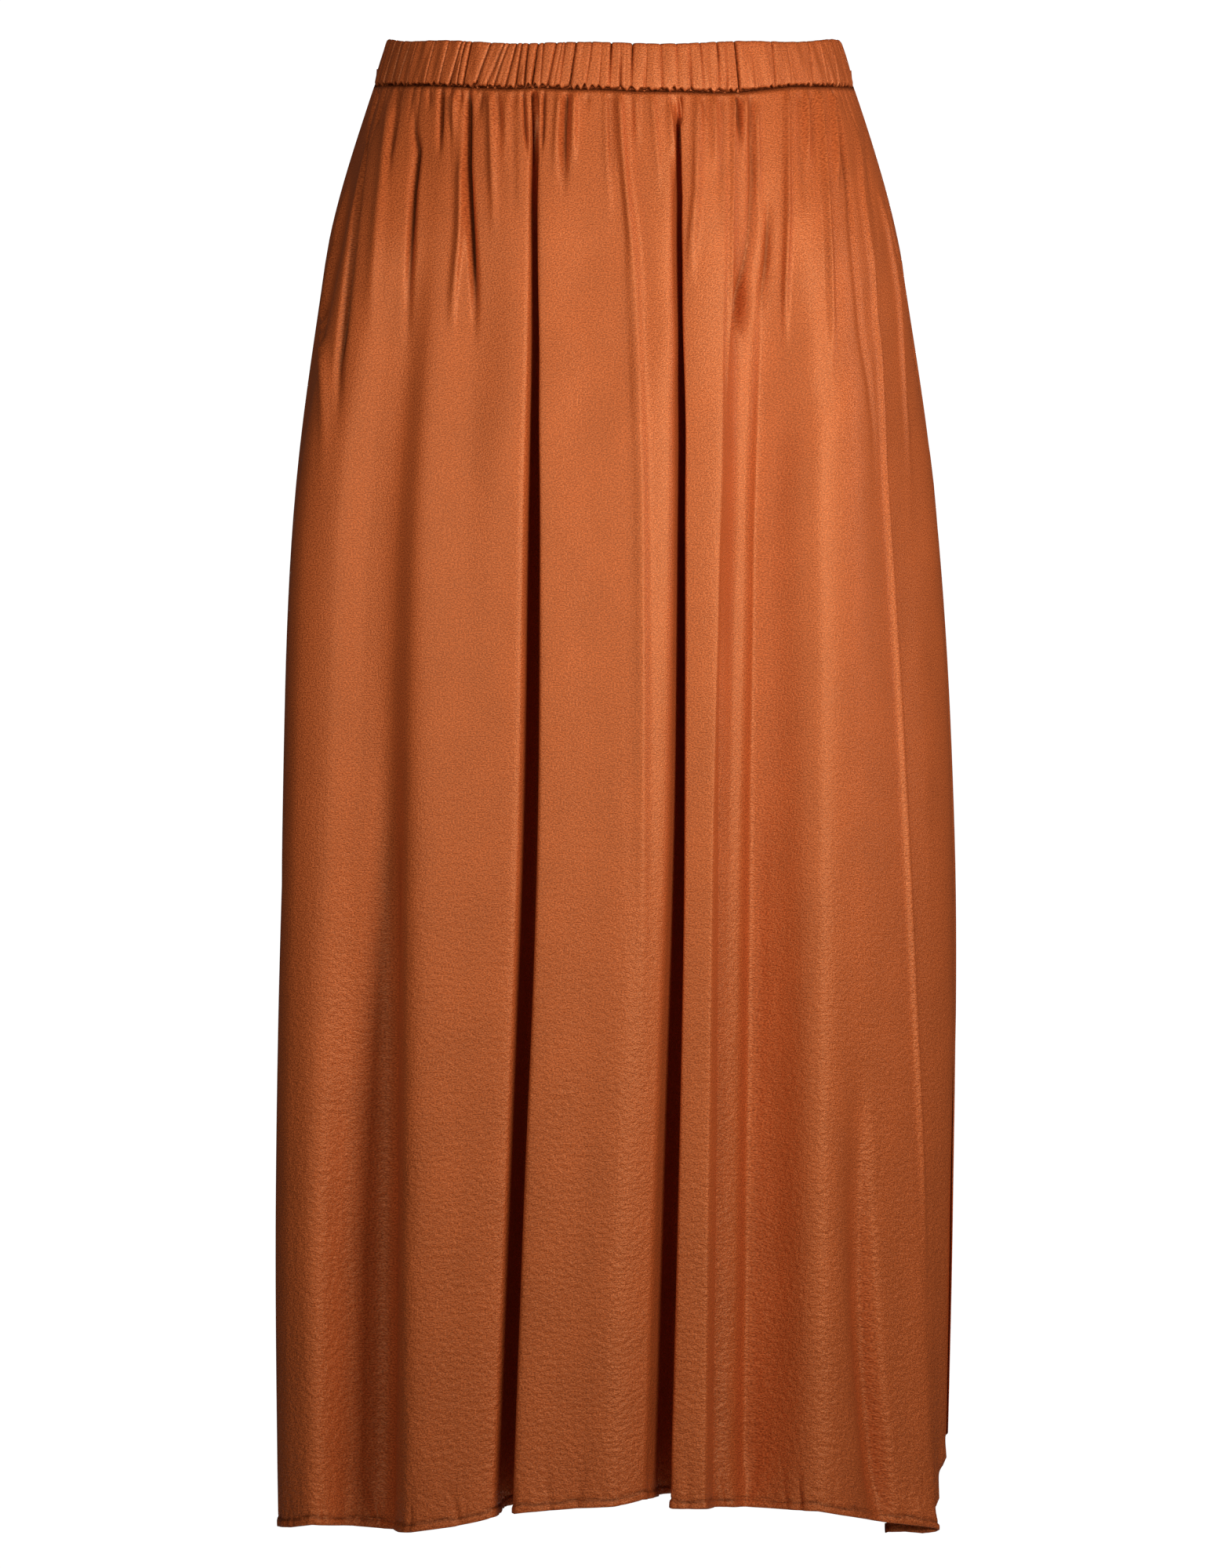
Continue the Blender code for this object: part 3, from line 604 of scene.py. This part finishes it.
def row_z(panel, plan, fall, angle, drop):
    """Z of a row, which hangs lower at some folds and follows the waistband's seam and dip."""
    z = -BAND_HEIGHT / 2 - SEAM_DROP - drop - fall * (drop / SKIRT_LENGTH) ** FALL_EASE
    z += seam_line(plan[:, 0], panel.side) * np.exp(-((drop / SEAM_LINE_FADE) ** 2))
    if panel.side < 0:
        z -= front_dip(angle) * (1 - min(max(drop / DIP_FADE, 0), 1)) ** DIP_FADE_EASE
    return z


def panel_rows(drops):
    """For each panel, by row and sample: points, how far along the cloth they lie, normals, shades."""
    samples, angles, rings, falls = [], [], [], []
    for panel, points in zip(PANELS, (front_points(LEVELS[2]), back_points(LEVELS[2]))):
        u = sample_columns(panel.folds, points)
        samples.append(u)
        angles.append(ring_angle(panel.folds, panel.side, u))
        rings.append(ring_section(angles[-1], panel.side, BAND_SEAM_HALF))
        falls.append(np.interp(u, fold_columns(panel.folds), [fold.fall for fold in panel.folds]) * MM)
    stores = [([], [], [], []) for _ in PANELS]
    for drop in drops:
        plans = row_plans(drop, samples, rings)
        normals = row_normals(plans, drop)
        slit_gap = SLIT_HALF_GAP * smooth_step((drop - SLIT_TOP) / SLIT_OPENS) + SEAM_HALF_GAP
        for which, panel in enumerate(PANELS):
            plan, normal, angle = plans[which], normals[which], angles[which]
            cloth = along_cloth(plan)
            height, shade = row_height(panel, plan, cloth, angle, drop)
            z = row_z(panel, plan, falls[which], angle, drop)
            moved = plan + calm(normal, drop) * height[:, None]
            gaps = (SEAM_HALF_GAP, slit_gap) if panel.side < 0 else (slit_gap, SEAM_HALF_GAP)
            for end, gap in ((0, gaps[0]), (-1, -gaps[1])):
                moved[end] += gap * np.array([-normal[end][1], normal[end][0]])
            for store, row in zip(stores[which], (np.column_stack([moved, z]), cloth, normal, shade)):
                store.append(row)
    return [[np.array(rows) for rows in store] for store in stores]


# The turned edge of a sheet, as (out past the edge, in behind the cloth), in millimetres, and its
# top edge tucked up behind the waistband, as (up, in).
TURN = ((0.22, 0.18), (0.30, 0.55), (0.10, 0.95), (-1.6, 1.10), (-3.4, 1.15), (-4.8, 1.10))
TUCK = ((9.0, 1.2), (3.5, 0.8), (1.0, 0.4))


def with_turned_edges(grid, cloth, normal, drops):
    """The grid with its side edges and its hem turned in, and its top tucked up behind the band."""
    tangent = np.stack([-normal[..., 1], normal[..., 0]], axis=-1)
    pieces_left, pieces_right = [], []
    for past, behind in TURN:
        for end, way, store in ((0, -1, pieces_left), (-1, 1, pieces_right)):
            moved = grid[:, end].copy()
            moved[:, :2] += way * past * MM * tangent[:, end] - behind * MM * normal[:, end]
            store.append(moved[:, None])
    grid = np.concatenate(pieces_left[::-1] + [grid] + pieces_right, axis=1)
    wide = len(TURN)
    before = cloth[:, :1] - np.arange(wide, 0, -1) * MM
    after = cloth[:, -1:] + np.arange(1, wide + 1) * MM
    cloth = np.concatenate([before, cloth, after], axis=1)
    normal = np.pad(normal, ((0, 0), (wide, wide), (0, 0)), mode="edge")

    def beyond(row, up, behind):
        moved = grid[row].copy()
        moved[:, :2] -= behind * MM * normal[row]
        moved[:, 2] += up * MM
        return moved[None]

    head = [beyond(0, up, behind) for up, behind in TUCK]
    foot = [beyond(-1, -past, behind) for past, behind in TURN]
    grid = np.concatenate(head + [grid] + foot, axis=0)
    cloth = np.pad(cloth, ((len(head), len(foot)), (0, 0)), mode="edge")
    above = drops[0] - np.array([up for up, _ in TUCK]) * MM
    below = drops[-1] + np.arange(1, len(foot) + 1) * MM
    return grid, cloth, np.concatenate([above, drops, below])


def mesh_object(name, points, faces, material, coordinates=None, shade=None):
    """A smooth mesh, with each point's place on its flat cloth in metres and its shade from 0 to 1."""
    data = bpy.data.meshes.new(name)
    data.from_pydata([tuple(p) for p in points], [], faces)
    data.shade_smooth()
    if coordinates is not None:
        layer = data.uv_layers.new(name="cloth")
        index = np.empty(len(data.loops), np.int32)
        data.loops.foreach_get("vertex_index", index)
        layer.data.foreach_set("uv", np.asarray(coordinates)[index].astype(np.float32).ravel())
    # The painted shade is kept as a point attribute, by which the satin material darkens its colour.
    if shade is not None:
        painted_shade = data.attributes.new("painted_shade", "FLOAT", "POINT")
        painted_shade.data.foreach_set("value", shade.astype(np.float32).ravel())
    data.materials.append(material)
    made = bpy.data.objects.new(name, data)
    bpy.context.scene.collection.objects.link(made)
    return made


def grid_faces(rows, columns, wrap=False):
    faces = []
    across = columns if wrap else columns - 1
    for i in range(rows - 1):
        for j in range(across):
            k = (j + 1) % columns
            a, b = i * columns, (i + 1) * columns
            faces.append((a + j, b + j, b + k, a + k))
    return faces


# ---------- the waistband


BAND_AROUND = 2304  # samples round it
BAND_COLUMN = 4.0  # millimetres of it in a column
BAND_UNDER = (1.9, 2.9)  # in millimetres: the height and depth of its curve under at the seam
BAND_FOLD = 1.4  # in millimetres: the radius of its fold at the top, half the casing's thickness
BAND_BELLY = 0.35  # in millimetres: how far its outer face swells out
INNER_SHARE = 0.4  # how much of the creases shows inside, where they turn over
TOP_WAVES = 9
TOP_WAVER = 0.5 * MM
EDGE_SEED = 5
EDGE_UNEVEN = 0.6 * MM

# The front's creases in the waistband, from left to right: X at its seam and at its top in millimetres,
# depth and half width in millimetres, and how deep each is at the seam and at the top, as shares.
BandCrease = namedtuple("BandCrease", "foot head deep wide at_seam at_top")

BAND_CREASES = [BandCrease(*row) for row in (
    (-125, -117.5, 1.7, 0.5, 1, 0.7),
    (-120.5, -114.5, 2, 0.45, 0.8, 1),
    (-116.5, -109.5, 1.5, 0.45, 1, 0.5),
    (-111.5, -105.5, 0.8, 0.5, 1, 0.6),
    (-101.5, -96, 0.9, 0.5, 0.7, 1),
    (-94, -88.5, 1.6, 0.45, 1, 0.6),
    (-88.5, -81.5, 2.4, 0.5, 1, 0.8),
    (-84.2, -79.6, 2, 0.42, 0.9, 1),
    (-81, -76.5, 2.8, 0.55, 1, 0.9),
    (-74.2, -66, 2.8, 0.5, 1, 0.8),
    (-68.5, -58.5, 2, 0.45, 1, 0.9),
    (-64.6, -56, 1.7, 0.42, 0.9, 0.8),
    (-58, -52, 2.4, 0.46, 0.9, 1),
    (-52.8, -49, 2.6, 0.48, 1, 0.7),
    (-48, -45.8, 2.7, 0.5, 1, 0.8),
    (-44, -40.6, 3, 0.55, 1, 0.9),
    (-39.6, -37.6, 1.5, 0.42, 0.4, 1),
    (-35.6, -30.8, 2.1, 0.46, 0.9, 0.9),
    (-29.6, -26, 1.5, 0.42, 0.5, 1),
    (-23.8, -20.2, 2.5, 0.48, 1, 0.9),
    (-15.6, -11.8, 1.4, 0.45, 0.5, 0.9),
    (-8.4, -6.4, 0.9, 0.42, 0.9, 0.4),
    (-2.6, -1.4, 2.7, 0.46, 0.3, 1),
    (3.4, 3.2, 2.2, 0.5, 1, 0.1),
    (9, 10, 2.7, 0.46, 0.3, 1),
    (16.5, 17.5, 1.1, 0.42, 0.8, 0.5),
    (25.8, 24.8, 1.4, 0.45, 0.9, 0.7),
    (34, 33.4, 1.1, 0.42, 0.4, 0.9),
    (41.5, 40, 1.6, 0.42, 1, 0.4),
    (48, 46, 1.6, 0.44, 0.4, 1),
    (56.6, 55.2, 2.2, 0.46, 0.4, 1),
    (60.2, 59.6, 1.8, 0.44, 1, 0.4),
    (67.2, 64.6, 3, 0.52, 1, 0.9),
    (75.5, 73.4, 1.2, 0.42, 1, 0.4),
    (86.6, 84.6, 2.1, 0.46, 0.8, 0.9),
    (95.6, 92.6, 1.2, 0.42, 0.9, 0.4),
    (107.8, 104.4, 1.9, 0.48, 0.6, 1),
    (115, 110, 1.4, 0.46, 1, 0.5),
    (121.5, 116.5, 1.6, 0.48, 0.8, 0.8),
)]

# The small creases between them. Depths are in millimetres, as (the least, how much deeper the deepest
# are, how rare these are), half widths in columns, and leans in columns by X from left to right.
SMALL_FRONT = (0.15, 0.8, 2)
SMALL_BACK = (0.6, 2.3, 1.6)
SMALL_HALF = (0.10, 0.17)
SMALL_STRAY = 0.8
SMALL_LEANS = ((-1, 1.0), (-0.6, 1.5), (-0.2, 0.8), (0.3, 0.0), (1, -0.7))
SMALL_PAINTED_SHADE = (0.7, 1.8)  # in millimetres: the depth at which shade starts, and its range


def band_crease(u, level, crease):
    """One of the waistband's creases at a share of its height."""
    seam = np.arccos(-crease.foot * MM / BAND_SEAM_HALF[0]) * COLUMNS / np.pi
    top = np.arccos(-crease.head * MM / BAND_TOP_HALF[0]) * COLUMNS / np.pi
    away = (u - seam - (top - seam) * level) * BAND_COLUMN / crease.wide
    share = crease.at_seam + (crease.at_top - crease.at_seam) * level
    return crease.deep * share / (1 + away * away) ** 1.5


def band_height_at(u, level, seed):
    """The waistband's creases, the front's listed with small ones between, and the painted shade in their
    bottoms.
    """
    random = np.random.RandomState(seed + 20)
    count = 2 * GATHERS
    centres = np.arange(count) * 2 + random.uniform(-SMALL_STRAY, SMALL_STRAY, count)
    front = centres < COLUMNS
    kinds = (SMALL_FRONT, SMALL_BACK)
    depths = [least + more * random.uniform(0, 1, count) ** rare for least, more, rare in kinds]
    depth = np.where(front, *depths)
    width = random.uniform(*SMALL_HALF, count)
    lean = np.interp(-np.cos(np.pi * centres / COLUMNS), *zip(*SMALL_LEANS))
    slant = np.where(front, lean, 0.0) + random.uniform(-0.4, 0.4, count)
    top = random.uniform(0.2, 1.0, count)
    foot = random.uniform(0.3, 1.0, count)
    height = np.zeros(len(u))
    for k in range(count):
        away = u - centres[k] - slant[k] * (level - 0.3)
        away = (away + COLUMNS) % (2 * COLUMNS) - COLUMNS
        share = foot[k] + (top[k] - foot[k]) * level
        height -= depth[k] * share / (1 + (away / width[k]) ** 2) ** 1.5
    for crease in BAND_CREASES:
        height -= band_crease(u, level, crease)
    swell = np.sin(u * 1.9 + 3.0 * level) + 0.7 * np.sin(u * 3.1 - 1.6 * level + 1.0)
    # The second value is painted shade, for the bottoms of the deeper creases.
    return (height + 0.22 * swell) * MM, np.clip((-height - SMALL_PAINTED_SHADE[0]) / SMALL_PAINTED_SHADE[1], 0, 1)


def uneven_edge():
    """Small scallops of the waistband's lower edge, in metres."""
    random = np.random.RandomState(EDGE_SEED)
    angle = np.arange(BAND_AROUND) * 2 * np.pi / BAND_AROUND
    edge = np.zeros(BAND_AROUND)
    for waves in range(90, 250, 4):
        edge += random.uniform(0, 1) * np.sin(waves * angle + random.uniform(0, 2 * np.pi))
    return edge / edge.std() * EDGE_UNEVEN


def band_profile():
    """Rows over the casing, from inside its seam, under, up its outer face, over, and down inside.

    Each is (share of the height, out from the outer face in millimetres, share of the creases).
    """
    rows = [(0.10, -4.2, 0.1), (0.03, -3.6, 0.2)]
    up, deep = BAND_UNDER
    for a in np.radians(np.linspace(0, 90, 6)):
        level = up * (1 - np.cos(a)) * MM / BAND_HEIGHT
        rows.append((level, -deep * (1 - np.sin(a)), 0.35 + 0.65 * np.sin(a)))
    for level in np.linspace(0.18, 0.90, 8):
        rows.append((level, BAND_BELLY * np.sin(np.pi * level), 1.0))
    for a in np.radians(np.linspace(0, 180, 7)):
        rows.append((0.945 + 0.055 * np.sin(a), -BAND_FOLD * (1 - np.cos(a)), 0.95 - 0.45 * a / np.pi))
    return rows + [(level, -2 * BAND_FOLD, 0.4) for level in np.linspace(0.80, 0.0, 4)]


def waistband(material):
    u = np.arange(BAND_AROUND) * 2 * COLUMNS / BAND_AROUND
    angle = u * np.pi / COLUMNS
    seam, top = np.array(BAND_SEAM_HALF), np.array(BAND_TOP_HALF)
    rows, coordinates, shades = [], [], []
    uneven = uneven_edge()
    for level, out, share in band_profile():
        ring = ring_section(angle, -1, seam + (top - seam) * level)
        height, painted_shade = band_height_at(u, level, FRONT_SEED)
        height *= share
        inner = out <= -2 * BAND_FOLD
        if inner:
            height = -INNER_SHARE * height
        # Painted shade under the casing's curve at its seam and in the bottoms of creases, none on its
        # inner face.
        under = np.clip((0.05 - level) / 0.05, 0, 1) * (share > 0.3)
        shades.append(np.maximum(painted_shade, under) * (not inner))
        plan = ring + outward(ring) * (height + out * MM)[:, None]
        low = np.where(ring[:, 1] < 0, seam_line(ring[:, 0], -1), seam_line(ring[:, 0], 1))
        frill = (uneven - 0.9 * height) * (1 - level) ** 4
        crest = 0.35 * height * level ** 8
        z = BAND_HEIGHT * (level - 0.5) + low * (1 - level) ** 1.5 + frill + crest - front_dip(angle)
        z += TOP_WAVER * np.sin(TOP_WAVES * angle + 1.0) * level ** 2
        rows.append(np.column_stack([plan, z]))
        down = np.full(len(u), level * BAND_HEIGHT)
        coordinates.append(np.column_stack([u * BAND_COLUMN * MM, down]))
    faces = grid_faces(len(rows), BAND_AROUND, wrap=True)
    return mesh_object("waistband_cloth", np.concatenate(rows), faces, material,
                       np.concatenate(coordinates), np.concatenate(shades))


# ---------- stitches


STITCH_PITCH = 2.7 * MM
STITCH_LENGTH = 2.1 * MM
STITCH_THICK = 0.42 * MM
STITCH_SUNK = 0.06 * MM
STITCH_SIDES = 6
# Along a stitch: share of its length, share of its thickness, and rise as a share of its thickness.
STITCH_PROFILE = (
    (0.0, 0.25, -0.6), (0.14, 0.8, -0.1), (0.5, 1.0, 0.12), (0.86, 0.8, -0.1), (1.0, 0.25, -0.6),
)
HEM_STITCHES = 3.6 * MM  # how far over the hem's edge they run
HEM_STITCH_LEAN = 0.18 * MM
SLIT_STITCHES = 2.6 * MM  # how far in from the slit's edges


def stitch_mesh(name, lines, material, lean=0.0):
    """Short stitches along lines of points with outward normals."""
    points, faces = [], []
    for line, normals in lines:
        step = np.linalg.norm(np.diff(line, axis=0), axis=1)
        run = np.concatenate([[0], np.cumsum(step)])
        for start in np.arange(STITCH_PITCH, run[-1] - STITCH_PITCH, STITCH_PITCH):
            ends = np.array([start, start + STITCH_LENGTH])
            mid = start + STITCH_LENGTH / 2
            a, b = (np.array([np.interp(e, run, line[:, k]) for k in range(3)]) for e in ends)
            out = np.array([np.interp(mid, run, normals[:, k]) for k in range(3)])
            out /= np.linalg.norm(out)
            along = (b - a) / np.linalg.norm(b - a)
            aside = np.cross(out, along)
            a, b = a + aside * lean, b - aside * lean
            base = len(points)
            for share, fat, rise in STITCH_PROFILE:
                centre = a + (b - a) * share + out * (STITCH_THICK * rise - STITCH_SUNK)
                for k in range(STITCH_SIDES):
                    turn = k * 2 * np.pi / STITCH_SIDES
                    spoke = aside * np.cos(turn) + out * np.sin(turn)
                    points.append(centre + spoke * STITCH_THICK / 2 * fat)
            last = STITCH_SIDES * (len(STITCH_PROFILE) - 1)
            for ring in range(0, last, STITCH_SIDES):
                for k in range(STITCH_SIDES):
                    i, j = base + ring + k, base + ring + (k + 1) % STITCH_SIDES
                    faces.append((i, j, j + STITCH_SIDES, i + STITCH_SIDES))
            faces.append(tuple(base + k for k in reversed(range(STITCH_SIDES))))
            faces.append(tuple(base + last + k for k in range(STITCH_SIDES)))
    return mesh_object(name, points, faces, material)


# ---------- materials


# The weave's colour goes from dark to light. Painted shade: the bottoms of narrow creases are mixed
# towards a near-black brown, with less sheen.
SHEEN_TINT = (1.0, 0.46, 0.21, 1)
THREAD_COLOUR = (0.30, 0.075, 0.025, 1)
WEAVE_DARK = (0.38, 0.066, 0.014, 1)
WEAVE_LIGHT = (0.79, 0.168, 0.039, 1)
PAINTED_CREASE_SHADE = (0.035, 0.006, 0.002, 1)
CLOTH_GLOSS = 0.9
PAINTED_SHADE_GLOSS = 0.1


def sheen_material(name):
    """A material with the satin's broad, coloured sheen, and its shader."""
    material = bpy.data.materials.new(name)
    material.use_nodes = True
    shader = material.node_tree.nodes["Principled BSDF"]
    shader.inputs["Roughness"].default_value = 0.44
    shader.inputs["IOR"].default_value = 1.6
    shader.inputs["Specular IOR Level"].default_value = CLOTH_GLOSS
    shader.inputs["Specular Tint"].default_value = SHEEN_TINT
    return material, shader


def thread(name):
    material, shader = sheen_material(name)
    shader.inputs["Base Color"].default_value = THREAD_COLOUR
    return material


def satin(name):
    """Copper satin: a fine mottled weave, crinkled towards the hem, with painted shade in the bottoms of
    narrow creases.
    """
    material, shader = sheen_material(name)
    nodes, links = material.node_tree.nodes, material.node_tree.links

    def node(kind, inputs, **settings):
        """A node with its settings made, and each input given a value or linked to an output."""
        made = nodes.new("ShaderNode" + kind)
        for key, value in settings.items():
            setattr(made, key, value)
        for key, value in inputs.items():
            if isinstance(value, bpy.types.NodeSocket):
                links.new(value, made.inputs[key])
            else:
                made.inputs[key].default_value = value
        return made

    place = node("UVMap", {}, uv_map="cloth").outputs["UV"]

    def noise(scale_x, scale_y, detail):
        """Noise with so many spots in a metre across and down the cloth."""
        vector = node("Mapping", {"Scale": (scale_x, scale_y, 1), "Vector": place}).outputs["Vector"]
        return node("TexNoise", {"Scale": 1.0, "Detail": detail, "Vector": vector}).outputs["Fac"]

    weave = noise(1150, 1500, 1.0)
    grain = node("MapRange", {"From Min": 0.34, "From Max": 0.66, "Value": weave}).outputs["Result"]
    cloud = noise(45, 30, 3.0)
    tint = node("Mix", {"A": WEAVE_DARK, "B": WEAVE_LIGHT, "Factor": grain}, data_type="RGBA")
    shade = node("Mix", {"Factor": 0.25, "A": tint.outputs["Result"], "B": cloud},
                 data_type="RGBA", blend_type="MULTIPLY")
    # Painted shade: by the point attribute, the colour goes towards a near-black brown and the sheen is
    # turned down.
    painted_shade = node("Attribute", {}, attribute_name="painted_shade").outputs["Fac"]
    colour = node("Mix", {"A": shade.outputs["Result"], "B": PAINTED_CREASE_SHADE, "Factor": painted_shade},
                  data_type="RGBA")
    gloss = node("MapRange", {"To Min": CLOTH_GLOSS, "To Max": PAINTED_SHADE_GLOSS, "Value": painted_shade})

    crinkle = noise(300, 380, 2.5)
    down = node("SeparateXYZ", {"Vector": place}).outputs["Y"]
    lower = node("MapRange", {"From Min": 0.30, "From Max": 0.78, "To Min": 0.10, "Value": down})
    strong = node("Math", {0: crinkle, 1: lower.outputs["Result"]}, operation="MULTIPLY")
    coarse = node("Bump", {"Strength": 1.0, "Distance": 1.2 * MM, "Height": strong.outputs["Value"]})
    fine = node("Bump", {"Strength": 0.5, "Distance": 0.2 * MM, "Height": grain,
                         "Normal": coarse.outputs["Normal"]})
    links.new(colour.outputs["Result"], shader.inputs["Base Color"])
    links.new(gloss.outputs["Result"], shader.inputs["Specular IOR Level"])
    links.new(fine.outputs["Normal"], shader.inputs["Normal"])
    return material


# ---------- build the cloth

cloth_material = satin("copper_satin")
thread_material = thread("copper_thread")

drops = row_drops()
panels = panel_rows(drops)
made = []
# The flat sizes are estimates of the cut: the shown gathers take up less cloth than real ones.
for (grid, cloth, normal, shade), name, node in (
    (panels[0], "front_cloth", "front_panel"),
    (panels[1], "back_cloth", "back_panel"),
):
    full, run, down = with_turned_edges(grid, cloth, normal, drops)
    rows, columns = full.shape[:2]
    middle = run - run[:, -1:] / 2
    coordinates = np.stack([middle, np.repeat(down[:, None], columns, 1)], axis=-1).reshape(-1, 2)
    # The painted shade carries on to the turned edges and hem, and none is put on the tucked top.
    shade = np.pad(shade, ((0, len(TURN)), (len(TURN), len(TURN))), mode="edge")
    shade = np.pad(shade, ((len(TUCK), 0), (0, 0)))
    faces = grid_faces(rows, columns)
    piece = mesh_object(name, full.reshape(-1, 3), faces, cloth_material, coordinates, shade)
    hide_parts(node)
    made.append(piece)

band = waistband(cloth_material)
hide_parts("waistband")
made.append(band)

hem_row = np.argmin(np.abs(drops - (SKIRT_LENGTH - HEM_STITCHES)))
slit_row = np.argmin(np.abs(drops - SLIT_TOP))
hem_lines, slit_lines = [], []
for (grid, cloth, normal, _), edge in zip(panels, (-1, 0)):
    level_normals = np.column_stack([normal[hem_row], np.zeros(len(normal[hem_row]))])
    hem_lines.append((grid[hem_row], level_normals))
    line, outs = [], []
    for i in range(slit_row, len(drops)):
        away = np.abs(cloth[i] - cloth[i, edge])
        order = np.argsort(away)
        line.append([np.interp(SLIT_STITCHES, away[order], grid[i][order, k]) for k in range(3)])
        out = [np.interp(SLIT_STITCHES, away[order], normal[i][order, k]) for k in range(2)]
        outs.append(out + [0])
    slit_lines.append((np.array(line), np.array(outs)))
made.append(stitch_mesh("hem_stitches", hem_lines, thread_material, HEM_STITCH_LEAN))
made.append(stitch_mesh("slit_stitches", slit_lines, thread_material))
for piece in made:
    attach(piece, "root")

# ---------- camera, light and backdrop

scene = bpy.context.scene
scene.view_settings.view_transform = "Standard"
scene.view_settings.look = "None"

SENSOR = 36
CAMERA_DISTANCE = 4.5
VIEW_HEIGHT = 0.851  # what the picture takes in from top to bottom, at the skirt's middle
VIEW_CENTRE = (0.00106, -0.391)  # X and Z
FLOOR_HEIGHT = -1.05
FLOOR_RADIUS = 0.95

camera_data = bpy.data.cameras.new("camera")
camera_data.sensor_width = SENSOR
camera_data.lens = SENSOR * CAMERA_DISTANCE / VIEW_HEIGHT
camera = bpy.data.objects.new("camera", camera_data)
camera.location = (VIEW_CENTRE[0], -CAMERA_DISTANCE, VIEW_CENTRE[1])
camera.rotation_euler = (np.radians(90), 0, 0)
scene.collection.objects.link(camera)
scene.camera = camera


def area_light(name, place, target, size, power, spread):
    data = bpy.data.lights.new(name, "AREA")
    data.shape = "RECTANGLE"
    data.size, data.size_y = size
    data.energy = power
    data.spread = np.radians(spread)
    lamp = bpy.data.objects.new(name, data)
    lamp.location = place
    lamp.visible_camera = False
    lamp.rotation_euler = (Vector(target) - Vector(place)).to_track_quat("-Z", "Y").to_euler()
    scene.collection.objects.link(lamp)


area_light("key", (0.9, -1.5, 0.1), (0, 0, -0.08), (0.6, 0.8), 4.75, 80)
area_light("side", (1.5, -0.2, 0.1), (0.15, 0, -0.1), (0.4, 0.5), 0.55, 60)
area_light("fill", (-0.65, -1.55, 0.1), (0, 0, -0.08), (0.8, 0.8), 2.15, 80)
area_light("back", (0, 2.1, 0.1), (0, 0, -0.15), (0.7, 0.8), 6.0, 85)

world = bpy.data.worlds.new("studio")
world.use_nodes = True
sky = world.node_tree.nodes["Background"]
sky.inputs["Color"].default_value = (1, 1, 1, 1)
sky.inputs["Strength"].default_value = 0.02
scene.world = world

card_material = bpy.data.materials.new("backdrop_white")
card_material.use_nodes = True
card_nodes = card_material.node_tree.nodes
card_nodes.remove(card_nodes["Principled BSDF"])
glow = card_nodes.new("ShaderNodeEmission")
glow.inputs["Strength"].default_value = 1.05
surface = card_nodes["Material Output"].inputs["Surface"]
card_material.node_tree.links.new(glow.outputs["Emission"], surface)
bpy.ops.mesh.primitive_plane_add(size=1, location=(0, 9, -0.4), rotation=(np.radians(90), 0, 0))
card = bpy.context.object
card.name = "backdrop"
card.scale = (2.4, 3.1, 1)
card.data.materials.append(card_material)

floor_material = bpy.data.materials.new("floor_pale")
floor_material.use_nodes = True
floor_shader = floor_material.node_tree.nodes["Principled BSDF"]
floor_shader.inputs["Base Color"].default_value = (0.8, 0.8, 0.8, 1)
floor_shader.inputs["Roughness"].default_value = 0.9
bpy.ops.mesh.primitive_circle_add(
    radius=FLOOR_RADIUS, vertices=96, fill_type="NGON", location=(0, 0, FLOOR_HEIGHT))
floor = bpy.context.object
floor.name = "floor"
floor.data.materials.append(floor_material)
